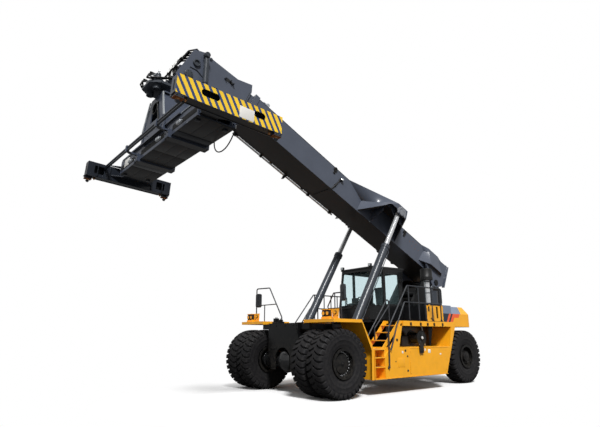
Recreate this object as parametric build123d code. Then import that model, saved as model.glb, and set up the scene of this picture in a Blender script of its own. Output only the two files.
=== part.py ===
from build123d import *
import math
import os

os.makedirs("parts", exist_ok=True)

# A reach stacker: a counterbalanced container handler with a telescopic boom.
# Millimetres. It stands on Z = 0 and drives towards +X, and +Y is its left side.
# ---------------------------------------------------------------- driving dimensions
WHEELBASE = 6000
FRONT_AXLE_X = 950
REAR_AXLE_X = FRONT_AXLE_X - WHEELBASE
TYRE_R = 820
TYRE_HALF = 250
BEAD_R = 318
FLANGE_R = 360
RIM_WALL = 20
RIM_HALF = 225
FRONT_OUTER_Y = 1835
DUAL_PITCH = 600
REAR_TYRE_Y = 1390
KINGPIN_Y = 1100

FRAME_HALF = 640
FRAME_LOW = 1060
FRAME_TOP = 1700
NECK_HALF = 410
BODY_Y = 2050
DECK_TOP = 1870
DECK_EDGE = 140
DECK_INNER_Y = 700
SKIRT_LOW = 390
SKIRT_TOP = 1170
SKIRT_INNER_Y = 1380
PANEL = 12
FENDER_INNER_Y = 920

CAB_HALF = 660
CAB_FLOOR = 1950
CAB_WALL = 60
CAB_FRONT_TOP = (-1720, 3520)
CAB_REAR_TOP = (-3220, 3560)
CAB_FRONT_LOW_X = -1550
CAB_REAR_LOW_X = -3110
CAB_BELT = 2330

PIVOT_X = REAR_AXLE_X - 50
PIVOT_Z = 3290
BOOM_ANGLE = 25.1
BOOM_HALF = 470
BOOM_LOW = 234
BOOM_TOP = 1004
BOOM_WALL = 20
BOOM_REAR = -420
BOOM_NOSE = 9000
INNER_GAP = 25
INNER_REAR = 500
TELESCOPE = 6900
TILT_PIN = (10800, 30)
TILT_PIN_R = 80
TOWER_IN = 440
TOWER_OUT = 540
CHEEK_IN = 560
CHEEK_OUT = 620
PIVOT_R = 100

LIFT_Y = 1050
LIFT_FOOT = (-140, 1200)
LIFT_TOP = (3060, 825)
LIFT_EYE_HALF = 58
LIFT_EYE_R = 84
LIFT_FOOT_HALF = 60
LIFT_BARREL_R = 125
LIFT_BORE_R = 100
LIFT_ROD_R = 75
LIFT_PIN_R = 60
LIFT_OPEN = 1362
LIFT_PISTON = 1392
WING_OUT = 1180

DAMPER_Y = 600
DAMPER_TOP = (10690, 790)
DAMPER_FOOT = (-440, -600)
DAMPER_BARREL = 800
DAMPER_ROD = 800
DAMPER_R = 65
DAMPER_ROD_R = 35
DAMPER_PIN_R = 40

PITCH = 3.42
TWISTLOCK_DROP = 2260
TWISTLOCK_X = 1129.5
TWISTLOCK_Y = 2926.5
RING_TOP = -500
RING_R = 520
BEAM_HALF_X = 1220
BEAM_IN = 2750
BEAM_OUT = 3000
BEAM_LOW = 80
BEAM_TOP = 490
SLEEVE_HALF_X = 450
SLEEVE_HALF_Y = 2350
SLEEVE_LOW = 170
SLEEVE_TOP = 570
ARM_INNER_END = 2300
GUSSET_START = 2420
GUIDE_ROD_R = 28

PIN_GAP = 0.05
FIT_GAP = 0.3
PAD_GAP = 0.5
SIDE_GAP = 5.5
FLOOR_GAP = 0.5
RAIL_R = 20


# ---------------------------------------------------------------- shape helpers
def box(x0, x1, y0, y1, z0, z1):
    middle = Pos((x0 + x1) / 2, (y0 + y1) / 2, (z0 + z1) / 2)
    return middle * Box(x1 - x0, y1 - y0, z1 - z0)


def both_sides(shape):
    return shape + mirror(shape, about=Plane.XZ)


def side_plate(outline, y0, y1):
    """A plate whose outline is given as (x, z) and whose thickness runs from y0 to y1."""
    face = make_face(Polyline([(x, y0, z) for x, z in outline], close=True))
    return extrude(face, amount=y1 - y0, dir=(0, 1, 0))


def plan_plate(outline, z0, z1):
    """A plate whose outline is given as (x, y) and whose thickness runs from z0 to z1."""
    face = make_face(Polyline([(x, y, z0) for x, y in outline], close=True))
    return extrude(face, amount=z1 - z0, dir=(0, 0, 1))


def cross_plate(outline, x0, x1):
    """A plate whose outline is given as (y, z) and whose thickness runs from x0 to x1."""
    face = make_face(Polyline([(x0, y, z) for y, z in outline], close=True))
    return extrude(face, amount=x1 - x0, dir=(1, 0, 0))


def bar(start, end, radius):
    start, end = Vector(*start), Vector(*end)
    face = Plane(origin=start, z_dir=end - start) * Circle(radius)
    return extrude(face, amount=(end - start).length, dir=(end - start).normalized())


def y_bar(x, z, radius, y0, y1):
    return bar((x, y0, z), (x, y1, z), radius)


def z_bar(x, y, radius, z0, z1):
    return bar((x, y, z0), (x, y, z1), radius)


def pipe(points, bend, radius):
    """A round tube rail: straight runs joined by arcs of one bend radius."""
    path = FilletPolyline(*points, radius=bend)
    return sweep(Plane(origin=path @ 0, z_dir=path % 0) * Circle(radius), path=path)


def turned(profile, x=0, z=0):
    """A body of revolution about an axle along Y, from (radius, y) points."""
    face = make_face(Polyline([(r, y, 0) for r, y in profile], close=True))
    return Pos(x, 0, z) * revolve(face, axis=Axis.Y)


def ruled(near, far):
    """A solid between two outlines of as many corners, given as (x, y, z)."""
    faces = [make_face(Polyline(points, close=True)) for points in (near, far)]
    return loft(faces, ruled=True)


def save(name, *shapes):
    """Writes one sub-part. Shapes that don't touch stay separate solids of it."""
    solids = []
    for shape in shapes:
        solids.extend(shape.solids())
    whole = solids[0] if len(solids) == 1 else Compound(children=solids)
    whole.label = name
    export_step(whole, f"parts/{name}.step")


BOOM = Pos(PIVOT_X, 0, PIVOT_Z) * Rot(0, -BOOM_ANGLE, 0)


def boom_point(along, up, y=0.0):
    """A point given along and above the boom's own axes, in the machine's frame."""
    slope = math.radians(BOOM_ANGLE)
    x = PIVOT_X + along * math.cos(slope) - up * math.sin(slope)
    z = PIVOT_Z + along * math.sin(slope) + up * math.cos(slope)
    return Vector(x, y, z)


TILT = boom_point(*TILT_PIN)
HANG = Pos(TILT.X, 0, TILT.Z) * Rot(0, -PITCH, 0)


def hang_point(x, z, y=0.0):
    """A point in the frame of the hanging spreader, whose origin is the tilt pin."""
    slope = math.radians(PITCH)
    return Vector(
        TILT.X + x * math.cos(slope) - z * math.sin(slope),
        y,
        TILT.Z + x * math.sin(slope) + z * math.cos(slope),
    )


# ---------------------------------------------------------------- chassis frame
NOSE_X = FRONT_AXLE_X + 280
NOSE_TOP = 1800
NOSE_PLATE = 40
TRANSITION_X = REAR_AXLE_X + 1150
FRAME_REAR = REAR_AXLE_X - 850
BEAM_WEB = 240
NECK_WEB = 160
FRAME_WALL = 30
AXLE_Z = TYRE_R
FRONT_TUBE_R = 200


def chassis_frame():
    wall = FRAME_WALL
    beam_in = FRAME_HALF - BEAM_WEB
    beam = box(TRANSITION_X, NOSE_X - NOSE_PLATE, beam_in, FRAME_HALF, FRAME_LOW, FRAME_TOP)
    frame = both_sides(beam)
    for x in (-1500, -2700):
        frame += box(x - 100, x + 100, -FRAME_HALF, FRAME_HALF, FRAME_LOW, FRAME_TOP - 150)
    frame += box(TRANSITION_X - 200, TRANSITION_X, -FRAME_HALF, FRAME_HALF, FRAME_LOW, FRAME_TOP)
    neck_in = NECK_HALF - NECK_WEB
    frame += both_sides(box(FRAME_REAR, TRANSITION_X, neck_in, NECK_HALF, FRAME_LOW, FRAME_TOP))
    frame += box(FRAME_REAR, FRAME_REAR + 150, -NECK_HALF, NECK_HALF, FRAME_LOW, FRAME_TOP)
    # the rear axle swings on a lengthwise pin held in this block
    block_half = 180
    block_x = (REAR_AXLE_X - block_half, REAR_AXLE_X + block_half)
    frame += box(*block_x, -NECK_HALF, NECK_HALF, FRAME_LOW, FRAME_LOW + 200)
    # nose: a plate with an arch over the differential, and a box behind it
    arch = 340
    nose = cross_plate(
        [
            (-CAB_HALF, NOSE_TOP), (-CAB_HALF, 1000), (-520, 700),
            (520, 700), (CAB_HALF, 1000), (CAB_HALF, NOSE_TOP),
        ],
        NOSE_X - NOSE_PLATE,
        NOSE_X,
    )
    nose -= bar((NOSE_X - 100, 0, AXLE_Z), (NOSE_X + 10, 0, AXLE_Z), arch)
    nose -= box(NOSE_X - 100, NOSE_X + 10, -arch, arch, 600, AXLE_Z)
    frame += nose
    frame += box(FRONT_AXLE_X - 700, NOSE_X - NOSE_PLATE, -CAB_HALF, CAB_HALF, NOSE_TOP - 40, NOSE_TOP)
    frame += box(FRONT_AXLE_X - 700, FRONT_AXLE_X - 660, -CAB_HALF, CAB_HALF, FRAME_TOP - 100, NOSE_TOP)
    for y in (-CAB_HALF, CAB_HALF - 20):
        frame += box(FRONT_AXLE_X - 700, NOSE_X - NOSE_PLATE, y, y + 20, FRAME_TOP - 100, NOSE_TOP)
    # outriggers under the fenders and the deck, each side
    outriggers = (
        (NOSE_X - 110, 1640, 1780), (FRONT_AXLE_X - 640, 1640, 1780),
        (-1500, 1500, FRAME_TOP), (-3200, 1500, FRAME_TOP),
    )
    for x, z0, z1 in outriggers:
        frame += both_sides(box(x - 40, x + 40, FRAME_HALF - 20, FENDER_INNER_Y + 120, z0, z1))
    # lugs that hold the feet of the lift cylinders
    foot_x, foot_z = LIFT_FOOT
    for y0, y1 in ((LIFT_Y - 115, LIFT_Y - 65), (LIFT_Y + 65, LIFT_Y + 115)):
        lug = side_plate(
            [
                (foot_x - 260, FRAME_LOW - 45), (foot_x - 260, FRAME_LOW + 40), (foot_x - 110, foot_z + 110),
                (foot_x + 90, foot_z + 110), (foot_x + 170, FRAME_LOW + 40), (foot_x + 170, FRAME_LOW - 45),
            ],
            y0,
            y1,
        )
        frame += both_sides(lug)
    shelf = box(foot_x - 260, foot_x + 170, FRAME_HALF - 20, LIFT_Y + 115, FRAME_LOW - 45, FRAME_LOW + 5)
    frame += both_sides(shelf)
    frame += both_sides(y_bar(foot_x, foot_z, LIFT_PIN_R, LIFT_Y - 125, LIFT_Y + 125))
    # the beams are boxes welded from plate, so they are hollow
    low, high = FRAME_LOW + wall, FRAME_TOP - wall
    frame -= both_sides(
        box(TRANSITION_X + wall, FRONT_AXLE_X - 300, beam_in + wall, FRAME_HALF - wall, low, high)
    )
    neck_x = (FRAME_REAR + 150 + wall, TRANSITION_X - 200 - wall)
    frame -= both_sides(box(*neck_x, neck_in + wall, NECK_HALF - wall, low + 200, high))
    return frame


def boom_towers():
    """Two upright plates behind the cab that carry the boom's pivot pin."""
    outline = [
        (PIVOT_X + 1450, FRAME_TOP),
        (PIVOT_X + 1250, 2600),
        (PIVOT_X + 720, PIVOT_Z - 10),
        (PIVOT_X + 400, PIVOT_Z + 130),
        (PIVOT_X + 40, PIVOT_Z + 165),
        (PIVOT_X - 147, PIVOT_Z + 85),
        (PIVOT_X - 347, PIVOT_Z - 261),
        (PIVOT_X - 400, 2430),
        (PIVOT_X - 400, FRAME_TOP),
    ]
    towers = both_sides(side_plate(outline, TOWER_IN, TOWER_OUT))
    for x, z in ((PIVOT_X + 500, 2900), (PIVOT_X - 100, 2700)):
        towers += y_bar(x, z, 110, -TOWER_IN - 20, TOWER_IN + 20)
    towers += y_bar(PIVOT_X, PIVOT_Z, PIVOT_R, -CHEEK_OUT - 30, CHEEK_OUT + 30)
    # feet that spread the load onto the frame
    foot = box(PIVOT_X + 800, PIVOT_X + 1400, TOWER_OUT - 30, FRAME_HALF, FRAME_TOP, FRAME_TOP + 60)
    towers += both_sides(foot)
    return towers


DECK_FRONT = -1360
DECK_REAR = REAR_AXLE_X + 1200


def deck():
    """Walkways of checker plate on a channel edge, left and right of the cab."""
    edge_low, inside, bearer_y = DECK_TOP - DECK_EDGE, BODY_Y - 59, FENDER_INNER_Y + 120
    side = box(DECK_REAR, DECK_FRONT, BODY_Y - 60, BODY_Y, edge_low, DECK_TOP)
    side += box(DECK_REAR, DECK_FRONT, DECK_INNER_Y, inside, DECK_TOP - 20, DECK_TOP)
    side += box(DECK_REAR, DECK_REAR + 50, DECK_INNER_Y, inside, edge_low, DECK_TOP - 19)
    for x in (-3240, -1540):
        side += box(x, x + 80, DECK_INNER_Y, bearer_y, FRAME_TOP, DECK_TOP - 19)
    side += box(DECK_FRONT, SLOPE_X, DECK_INNER_Y, LIFT_Y - 190, DECK_TOP - 20, DECK_TOP)
    cab_y = DECK_INNER_Y - FLOOR_GAP
    middle = box(-3600, 240, -cab_y, cab_y, NOSE_TOP + 20, NOSE_TOP + 50)
    for x in (-3600, -1500, 0):
        middle += both_sides(box(x, x + 40, FRAME_HALF - BEAM_WEB, cab_y, FRAME_TOP, NOSE_TOP + 21))
    return middle, side, mirror(side, about=Plane.XZ)


# ---------------------------------------------------------------- axles and wheels
FRONT_SPINDLE_R = 170
REAR_SPINDLE_R = 120


def front_axle():
    axle = y_bar(FRONT_AXLE_X, AXLE_Z, FRONT_TUBE_R, -960, 960)
    axle += y_bar(FRONT_AXLE_X, AXLE_Z, FRONT_SPINDLE_R, -2000, 2000)
    # differential ball in the nose arch, and its cover
    axle += Pos(FRONT_AXLE_X + 60, 0, AXLE_Z + 10) * Sphere(300)
    axle += bar((FRONT_AXLE_X - 420, 0, AXLE_Z), (FRONT_AXLE_X, 0, AXLE_Z), 150)
    seat_y = (FRAME_HALF - BEAM_WEB + 20, FRAME_HALF - 20)
    axle += both_sides(box(FRONT_AXLE_X - 210, FRONT_AXLE_X + 210, *seat_y, AXLE_Z, FRAME_LOW))
    return axle


FORK_HALF_X = 110


def rear_axle():
    """The steering axle: a box beam with a fork at each end, on a lengthwise pivot."""
    fork_in = KINGPIN_Y - 125
    axle = box(REAR_AXLE_X - 150, REAR_AXLE_X + 150, -fork_in, fork_in, 640, 960)
    axle += box(REAR_AXLE_X - 120, REAR_AXLE_X + 120, -150, 150, 950, FRAME_LOW)
    for z0, z1 in ((610, 660), (980, 1030)):
        axle += both_sides(
            box(REAR_AXLE_X - FORK_HALF_X, REAR_AXLE_X + FORK_HALF_X, fork_in - 60, KINGPIN_Y + 80, z0, z1)
        )
    axle += box(REAR_AXLE_X - FORK_HALF_X, REAR_AXLE_X + FORK_HALF_X, -fork_in, fork_in, 610, 1030)
    for side in (-1, 1):
        axle -= z_bar(REAR_AXLE_X, side * KINGPIN_Y, 60 + PIN_GAP, 600, 1040)
    # the steering cylinder lies across the front of the beam
    axle += box(REAR_AXLE_X + 140, REAR_AXLE_X + 215, -420, 420, 760, 860)
    axle += y_bar(REAR_AXLE_X + 230, 810, 80, -400, 400)
    axle += y_bar(REAR_AXLE_X + 230, 810, 40, -620, 620)
    return axle


def knuckle(side):
    body = box(REAR_AXLE_X - 85, REAR_AXLE_X + 85, KINGPIN_Y - 60, KINGPIN_Y + 60, 666, 974)
    body += z_bar(REAR_AXLE_X, KINGPIN_Y, 60, 600, 1040)
    body += y_bar(REAR_AXLE_X, AXLE_Z, 150, KINGPIN_Y + 50, KINGPIN_Y + 120)
    body += y_bar(REAR_AXLE_X, AXLE_Z, REAR_SPINDLE_R, KINGPIN_Y + 60, REAR_TYRE_Y + 190)
    return body if side > 0 else mirror(body, about=Plane.XZ)


def tyre(y):
    """A plain tyre section; the tread's lugs are part of its outer skin."""
    bead, wall = RIM_HALF - FIT_GAP, TYRE_HALF
    half = Polyline((BEAD_R + FIT_GAP, 0), (BEAD_R + FIT_GAP, bead), (FLANGE_R + 4, bead))
    side = ThreePointArc((FLANGE_R + 4, bead), ((FLANGE_R + TYRE_R) / 2, wall), (TYRE_R - 90, wall - 10))
    shoulder = ThreePointArc((TYRE_R - 90, wall - 10), (TYRE_R - 22, wall - 32), (TYRE_R, wall - 90))
    tread = Polyline((TYRE_R, wall - 90), (TYRE_R, 0), (BEAD_R + FIT_GAP, 0))
    section = make_face(half + side + shoulder + tread)
    ring = revolve(section, axis=Axis.Y)
    ring += mirror(ring, about=Plane.XZ)
    return Pos(0, y, 0) * ring


def rim_band(y):
    low, high, half = BEAD_R - RIM_WALL, BEAD_R, RIM_HALF
    profile = [
        (low, y - half - RIM_WALL),
        (FLANGE_R, y - half - RIM_WALL),
        (FLANGE_R, y - half),
        (high, y - half),
        (high, y + half),
        (FLANGE_R, y + half),
        (FLANGE_R, y + half + RIM_WALL),
        (low, y + half + RIM_WALL),
    ]
    return turned(profile)


def front_wheel():
    """Twin rims joined by a spacer, a disc, and the planetary hub that drives them."""
    inner_y = FRONT_OUTER_Y - DUAL_PITCH
    rims = rim_band(FRONT_OUTER_Y) + rim_band(inner_y)
    low, high = BEAD_R - RIM_WALL, BEAD_R
    bore = FRONT_SPINDLE_R + PIN_GAP
    near, far = inner_y + RIM_HALF + 15, FRONT_OUTER_Y - RIM_HALF - 15
    rims += turned([(low, near), (high, near), (high, far), (low, far)])
    disc_y = FRONT_OUTER_Y + 60
    for y in (disc_y, inner_y - 60):
        rims += turned([(bore, y), (low + 5, y), (low + 5, y + 30), (bore, y + 30)])
    hub = [
        (bore, disc_y + 29),
        (250, disc_y + 29),
        (250, disc_y + 70),
        (225, disc_y + 110),
        (0, disc_y + 125),
        (0, FRONT_OUTER_Y + 166),
        (bore, FRONT_OUTER_Y + 166),
    ]
    rims += turned(hub)
    return rims


def rear_wheel():
    rim = rim_band(REAR_TYRE_Y)
    low = BEAD_R - RIM_WALL
    bore = REAR_SPINDLE_R + PIN_GAP
    disc_y = REAR_TYRE_Y + 80
    rim += turned([(bore, disc_y), (low + 5, disc_y), (low + 5, disc_y + 30), (bore, disc_y + 30)])
    hub = [
        (bore, disc_y - 120),
        (170, disc_y - 120),
        (170, disc_y + 80),
        (150, disc_y + 140),
        (0, disc_y + 150),
        (0, REAR_TYRE_Y + 191),
        (bore, REAR_TYRE_Y + 191),
    ]
    return rim + turned(hub)


# ---------------------------------------------------------------- body panels
FENDER_FRONT = NOSE_X + 20
FENDER_REAR = FRONT_AXLE_X - 660
SLOPE_X = -140
SKIRT_FRONT = -100


def fender():
    """A plate over the twin wheels with a turned-down rim, sloping down behind them."""
    top = box(FENDER_REAR, FENDER_FRONT, FENDER_INNER_Y, BODY_Y, DECK_TOP - PANEL, DECK_TOP)
    rim = box(FENDER_REAR, FENDER_FRONT, BODY_Y - PANEL, BODY_Y, DECK_TOP - 80, DECK_TOP)
    rim += box(FENDER_FRONT - PANEL, FENDER_FRONT, FENDER_INNER_Y, BODY_Y, DECK_TOP - 80, DECK_TOP)
    slope_in = LIFT_Y + 190
    slope = side_plate(
        [
            (FENDER_REAR + 5, DECK_TOP),
            (FENDER_REAR + 5, DECK_TOP - PANEL),
            (FENDER_REAR - 10, DECK_TOP - PANEL),
            (SLOPE_X + PANEL, 1100),
            (SKIRT_FRONT, SKIRT_LOW),
            (SKIRT_FRONT - PANEL, SKIRT_LOW),
            (SLOPE_X - 2, 1100),
            (FENDER_REAR - 18, DECK_TOP),
        ],
        slope_in,
        BODY_Y,
    )
    flange = side_plate(
        [
            (FENDER_REAR + 5, DECK_TOP),
            (FENDER_REAR + 5, DECK_TOP - 80),
            (FENDER_REAR - 30, DECK_TOP - 80),
            (SLOPE_X + 80, 1100),
            (SKIRT_FRONT + 70, SKIRT_LOW),
            (SKIRT_FRONT - PANEL, SKIRT_LOW),
            (SLOPE_X - 2, 1100),
            (FENDER_REAR - 18, DECK_TOP),
        ],
        BODY_Y - PANEL,
        BODY_Y,
    )
    inner = box(FENDER_REAR, FENDER_FRONT, FENDER_INNER_Y, FENDER_INNER_Y + PANEL, 1780, DECK_TOP)
    return top + rim + slope + flange + inner


LADDER_REAR = SKIRT_FRONT - 450
LADDER_FRONT = SLOPE_X - 20
TANK_REAR = DECK_REAR + 360


def skirt():
    """The side tank with the opening above it, its slanted ends and the lower step box."""
    tank = side_plate(
        [
            (LADDER_REAR, SKIRT_LOW),
            (LADDER_REAR, SKIRT_TOP - 80),
            (LADDER_REAR - 90, SKIRT_TOP),
            (TANK_REAR, SKIRT_TOP),
            (TANK_REAR + 240, SKIRT_LOW),
        ],
        SKIRT_INNER_Y,
        BODY_Y - 25,
    )
    hollow_x = (TANK_REAR + 290, LADDER_REAR - 30)
    tank -= box(*hollow_x, SKIRT_INNER_Y + 20, BODY_Y - 45, SKIRT_LOW + 20, SKIRT_TOP - 110)
    face = side_plate(
        [
            (LADDER_REAR, SKIRT_LOW),
            (LADDER_REAR, 940),
            (-1010, 1440),
            (-1130, DECK_TOP - DECK_EDGE),
            (-1310, DECK_TOP - DECK_EDGE),
            (-1150, SKIRT_TOP),
            (TANK_REAR, SKIRT_TOP),
            (TANK_REAR - 150, DECK_TOP - DECK_EDGE),
            (DECK_REAR, DECK_TOP - DECK_EDGE),
            (TANK_REAR + 240, SKIRT_LOW),
        ],
        BODY_Y - 26,
        BODY_Y,
    )
    rear_wall = side_plate(
        [
            (TANK_REAR, SKIRT_TOP - 5), (TANK_REAR - 150, DECK_TOP - DECK_EDGE),
            (TANK_REAR - 180, DECK_TOP - DECK_EDGE), (TANK_REAR - 30, SKIRT_TOP - 5),
        ],
        SKIRT_INNER_Y,
        BODY_Y - 25,
    )
    back = box(TANK_REAR + 90, -1400, SKIRT_INNER_Y, SKIRT_INNER_Y + PANEL, SKIRT_TOP - 5, DECK_TOP - 20)
    # straps from the main frame that carry the tank
    straps = box(-1560, -1480, FRAME_HALF, SKIRT_INNER_Y + 5, 1085, 1165)
    straps += box(-3260, -3180, FRAME_HALF, SKIRT_INNER_Y + 5, 1085, 1165)
    base = box(LADDER_REAR, LADDER_FRONT, BODY_Y - 310, BODY_Y, SKIRT_LOW, SKIRT_LOW + 20)
    return tank + face + rear_wall + back + straps + base


STEP_RISES = (410, 675, 907, 1110)


STAIR_IN = SKIRT_INNER_Y + 120
STAIR_OUT = BODY_Y - 30
STAIR_FOOT = (-420, 1100)
STAIR_TREADS = ((-730, 1330), (-945, 1540), (-1160, 1725))


def ladder():
    """Steps let into the body side, then a short flight up to the deck."""
    y0, y1 = BODY_Y - 290, BODY_Y
    front, rear = LADDER_FRONT, LADDER_REAR
    foot_x, foot_z = STAIR_FOOT
    steps = box(front - 16, front, y0, y1, SKIRT_LOW + 20, foot_z + 28)
    steps += box(rear, front - 15, y0, y0 + PANEL, SKIRT_LOW + 20, foot_z + 28)
    for z in STEP_RISES[1:]:
        steps += box(rear, front - 15, y0 + 5, y1, z, z + 24)
    for x, z in STAIR_TREADS:
        steps += box(x - 110, x + 110, STAIR_IN, STAIR_OUT, z, z + 24)
    stringer = [
        (foot_x, foot_z), (foot_x - 140, foot_z), (DECK_FRONT + 50, DECK_TOP - 70),
        (DECK_FRONT, DECK_TOP - 70), (DECK_FRONT, DECK_TOP), (DECK_FRONT + 180, DECK_TOP),
    ]
    for y in (STAIR_IN, STAIR_OUT - 16):
        steps += side_plate(stringer, y, y + 16)
    steps += box(foot_x - 140, foot_x, STAIR_IN, STAIR_OUT, foot_z, foot_z + 28)
    return steps


def handrails():
    """Grab rails beside the steps and the guard rail of the deck."""
    y, r = BODY_Y - RAIL_R, RAIL_R
    proud = BODY_Y + RAIL_R + 15
    low, high = 2380, 2845
    guard = pipe(
        [(-670, proud, 650), (-700, proud, 1680), (-1640, y, high), (-3270, y, high), (-3270, y, low),
         (-1490, y, low), (-1050, proud, 1750), (-760, proud, 1100)],
        60,
        r,
    )
    for x in (-1690, -2140, -2470, -2780, -3200):
        guard += z_bar(x, y, r - 2, DECK_TOP, high)
    # the outer rails stand on short brackets fixed to the body side
    for x, z in ((-671, 700), (-775, 1134)):
        guard += bar((x, proud, z), (x, BODY_Y, z), r - 4)
    inner_y = STAIR_IN + 16 + r
    foot_z = STAIR_FOOT[1] + 28
    bends = [(-480, foot_z), (-480, 1450), (-1400, 2560), (-1400, DECK_TOP)]
    inner = pipe([(x, inner_y, z) for x, z in bends], 60, r)
    inner += bar((-760, inner_y, 1660), (-1400, inner_y, 2300), r - 2)
    inner += z_bar(-760, inner_y, r - 2, STAIR_TREADS[0][1] + 24, 1680)
    return guard, inner


def counterweight():
    """A cast block over the rear axle, bevelled at its top and rear corners."""
    low, belt, top = 1750, 2160, 2410
    half, rear, front = 1500, REAR_AXLE_X - 1000, REAR_AXLE_X + 500
    plan = [
        (front, -half), (front, half), (rear + 500, half),
        (rear, half - 300), (rear, 300 - half), (rear + 500, -half),
    ]
    block = plan_plate(plan, low, belt)
    cap = [
        (front, 250 - half), (front, half - 250), (rear + 470, half - 250),
        (rear + 250, half - 480), (rear + 250, 480 - half), (rear + 470, 250 - half),
    ]
    block += ruled([(x, y, belt) for x, y in plan], [(x, y, top) for x, y in cap])
    block += box(rear, FRAME_REAR, -NECK_HALF, NECK_HALF, 900, low + 1)
    # a well around the boom towers
    block -= box(PIVOT_X - 420, front + 1, -TOWER_OUT - 20, TOWER_OUT + 20, low - 1, top + 1)
    block -= box(PIVOT_X - 420, front + 1, -NECK_HALF - 1, NECK_HALF + 1, FRAME_TOP - 60, low + 1)
    return block


COVER_REAR = REAR_AXLE_X + 501
COVER_FRONT = REAR_AXLE_X + 1900
COVER_TOP = 2420
COVER_IN = 680
COVER_OUT = 1500
DOOR_PANEL = 40


COVER_HINGE = (COVER_OUT + 20, COVER_TOP - 22)
COVER_HINGE_X = (COVER_FRONT - 830, COVER_FRONT - 190)
CASING_DOOR_X = (COVER_FRONT - 950, COVER_FRONT - 70)


def engine_cover(side):
    """The fixed casing beside the engine, open on its outer face for its door."""
    shell = box(COVER_REAR, COVER_FRONT, COVER_IN, COVER_OUT, DECK_TOP, COVER_TOP)
    low, high = DECK_TOP + 30, COVER_TOP - 30
    shell -= box(COVER_REAR + 30, COVER_FRONT - 30, COVER_IN + 30, COVER_OUT - DOOR_PANEL, low, high)
    shell -= box(*CASING_DOOR_X, COVER_IN + 30, COVER_OUT + 1, low, high)
    shell += box(COVER_REAR, DECK_REAR - 1, COVER_IN, COVER_OUT, 1760, DECK_TOP + 5)
    # hinge lugs with their pins along the top edge
    hinge_y, hinge_z = COVER_HINGE
    for x in COVER_HINGE_X:
        for x0 in (x - 45, x + 33):
            shell += box(x0, x0 + 12, COVER_OUT - 5, hinge_y + 12, hinge_z - 10, hinge_z + 14)
        shell += bar((x - 40, hinge_y, hinge_z), (x + 40, hinge_y, hinge_z), 6)
    return shell if side > 0 else mirror(shell, about=Plane.XZ)


def engine_door(side):
    gap = SIDE_GAP
    panel = box(
        CASING_DOOR_X[0] + gap, CASING_DOOR_X[1] - gap, COVER_OUT - DOOR_PANEL, COVER_OUT,
        DECK_TOP + 30 + gap, COVER_TOP - 30 - gap,
    )
    # a breathing slot, sunk into the panel
    slot_x = CASING_DOOR_X[0] + 270
    panel -= box(slot_x, slot_x + 100, COVER_OUT - 25, COVER_OUT + 1, DECK_TOP + 130, COVER_TOP - 60)
    hinge_y, hinge_z = COVER_HINGE
    for x in COVER_HINGE_X:
        panel += box(x - 30, x + 30, COVER_OUT - 5, hinge_y + 6, hinge_z - 50, hinge_z - 18)
        panel += box(x - 30, x + 30, hinge_y - 6, hinge_y + 6, hinge_z - 40, hinge_z)
        panel += bar((x - 30, hinge_y, hinge_z), (x + 30, hinge_y, hinge_z), 12)
        panel -= bar((x - 31, hinge_y, hinge_z), (x + 31, hinge_y, hinge_z), 6 + PIN_GAP)
    return panel if side > 0 else mirror(panel, about=Plane.XZ)


ENGINE_X = (REAR_AXLE_X + 1300, REAR_AXLE_X + 2200)
ENGINE_HALF = 330
ENGINE_Z = (1150, 1750)


def engine_block():
    """The engine as one plain mass between the frame beams, on four feet."""
    engine = box(*ENGINE_X, -ENGINE_HALF, ENGINE_HALF, *ENGINE_Z)
    for x in (ENGINE_X[0] + 100, ENGINE_X[1] - 100):
        engine += both_sides(box(x - 60, x + 60, ENGINE_HALF - 5, FRAME_HALF - BEAM_WEB, 1300, 1380))
    return engine


CANISTER_LOW = 3250
STACK = (REAR_AXLE_X + 1230, 1150)
SILENCER = (REAR_AXLE_X + 870, 1050)
SILENCER_TOP = 2900


def exhaust():
    """The silencer and its chromed stack on the left casing, under the air canister."""
    pipe_run = z_bar(*STACK, 86, COVER_TOP, CANISTER_LOW)
    silencer = z_bar(*SILENCER, 195, COVER_TOP, SILENCER_TOP)
    return pipe_run, silencer


def air_canister():
    return z_bar(*STACK, 185, CANISTER_LOW, CANISTER_LOW + 350)


# ---------------------------------------------------------------- cab
def cab_outline(inset):
    return [
        (CAB_FRONT_LOW_X - inset, CAB_FLOOR + inset),
        (CAB_FRONT_LOW_X - inset, CAB_BELT),
        (CAB_FRONT_TOP[0] - inset, CAB_FRONT_TOP[1] + (5 if inset else 0)),
        (CAB_REAR_TOP[0] + inset, CAB_REAR_TOP[1] + (5 if inset else 0)),
        (CAB_REAR_LOW_X + inset, CAB_BELT),
        (CAB_REAR_LOW_X + inset, CAB_FLOOR + inset),
    ]


DOOR_X = (-3050, -2270)
DOOR_Z = (2030, 3440)
WINDOW_LOW = 2370
WINDOW_HIGH = 3440
POST = 55
GLASS = 8


def side_window(x_low, x_high, z_low, z_high, lean):
    """A side window's outline; its front edge leans back with the windscreen."""
    return [(x_low, z_low), (x_high, z_low), (x_high - lean, z_high), (x_low, z_high)]


FRONT_SIDE = side_window(DOOR_X[1] + POST, CAB_FRONT_LOW_X - POST, WINDOW_LOW, WINDOW_HIGH, 165)
RIGHT_REAR_SIDE = side_window(DOOR_X[0], DOOR_X[1], WINDOW_LOW, WINDOW_HIGH, 0)


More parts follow.
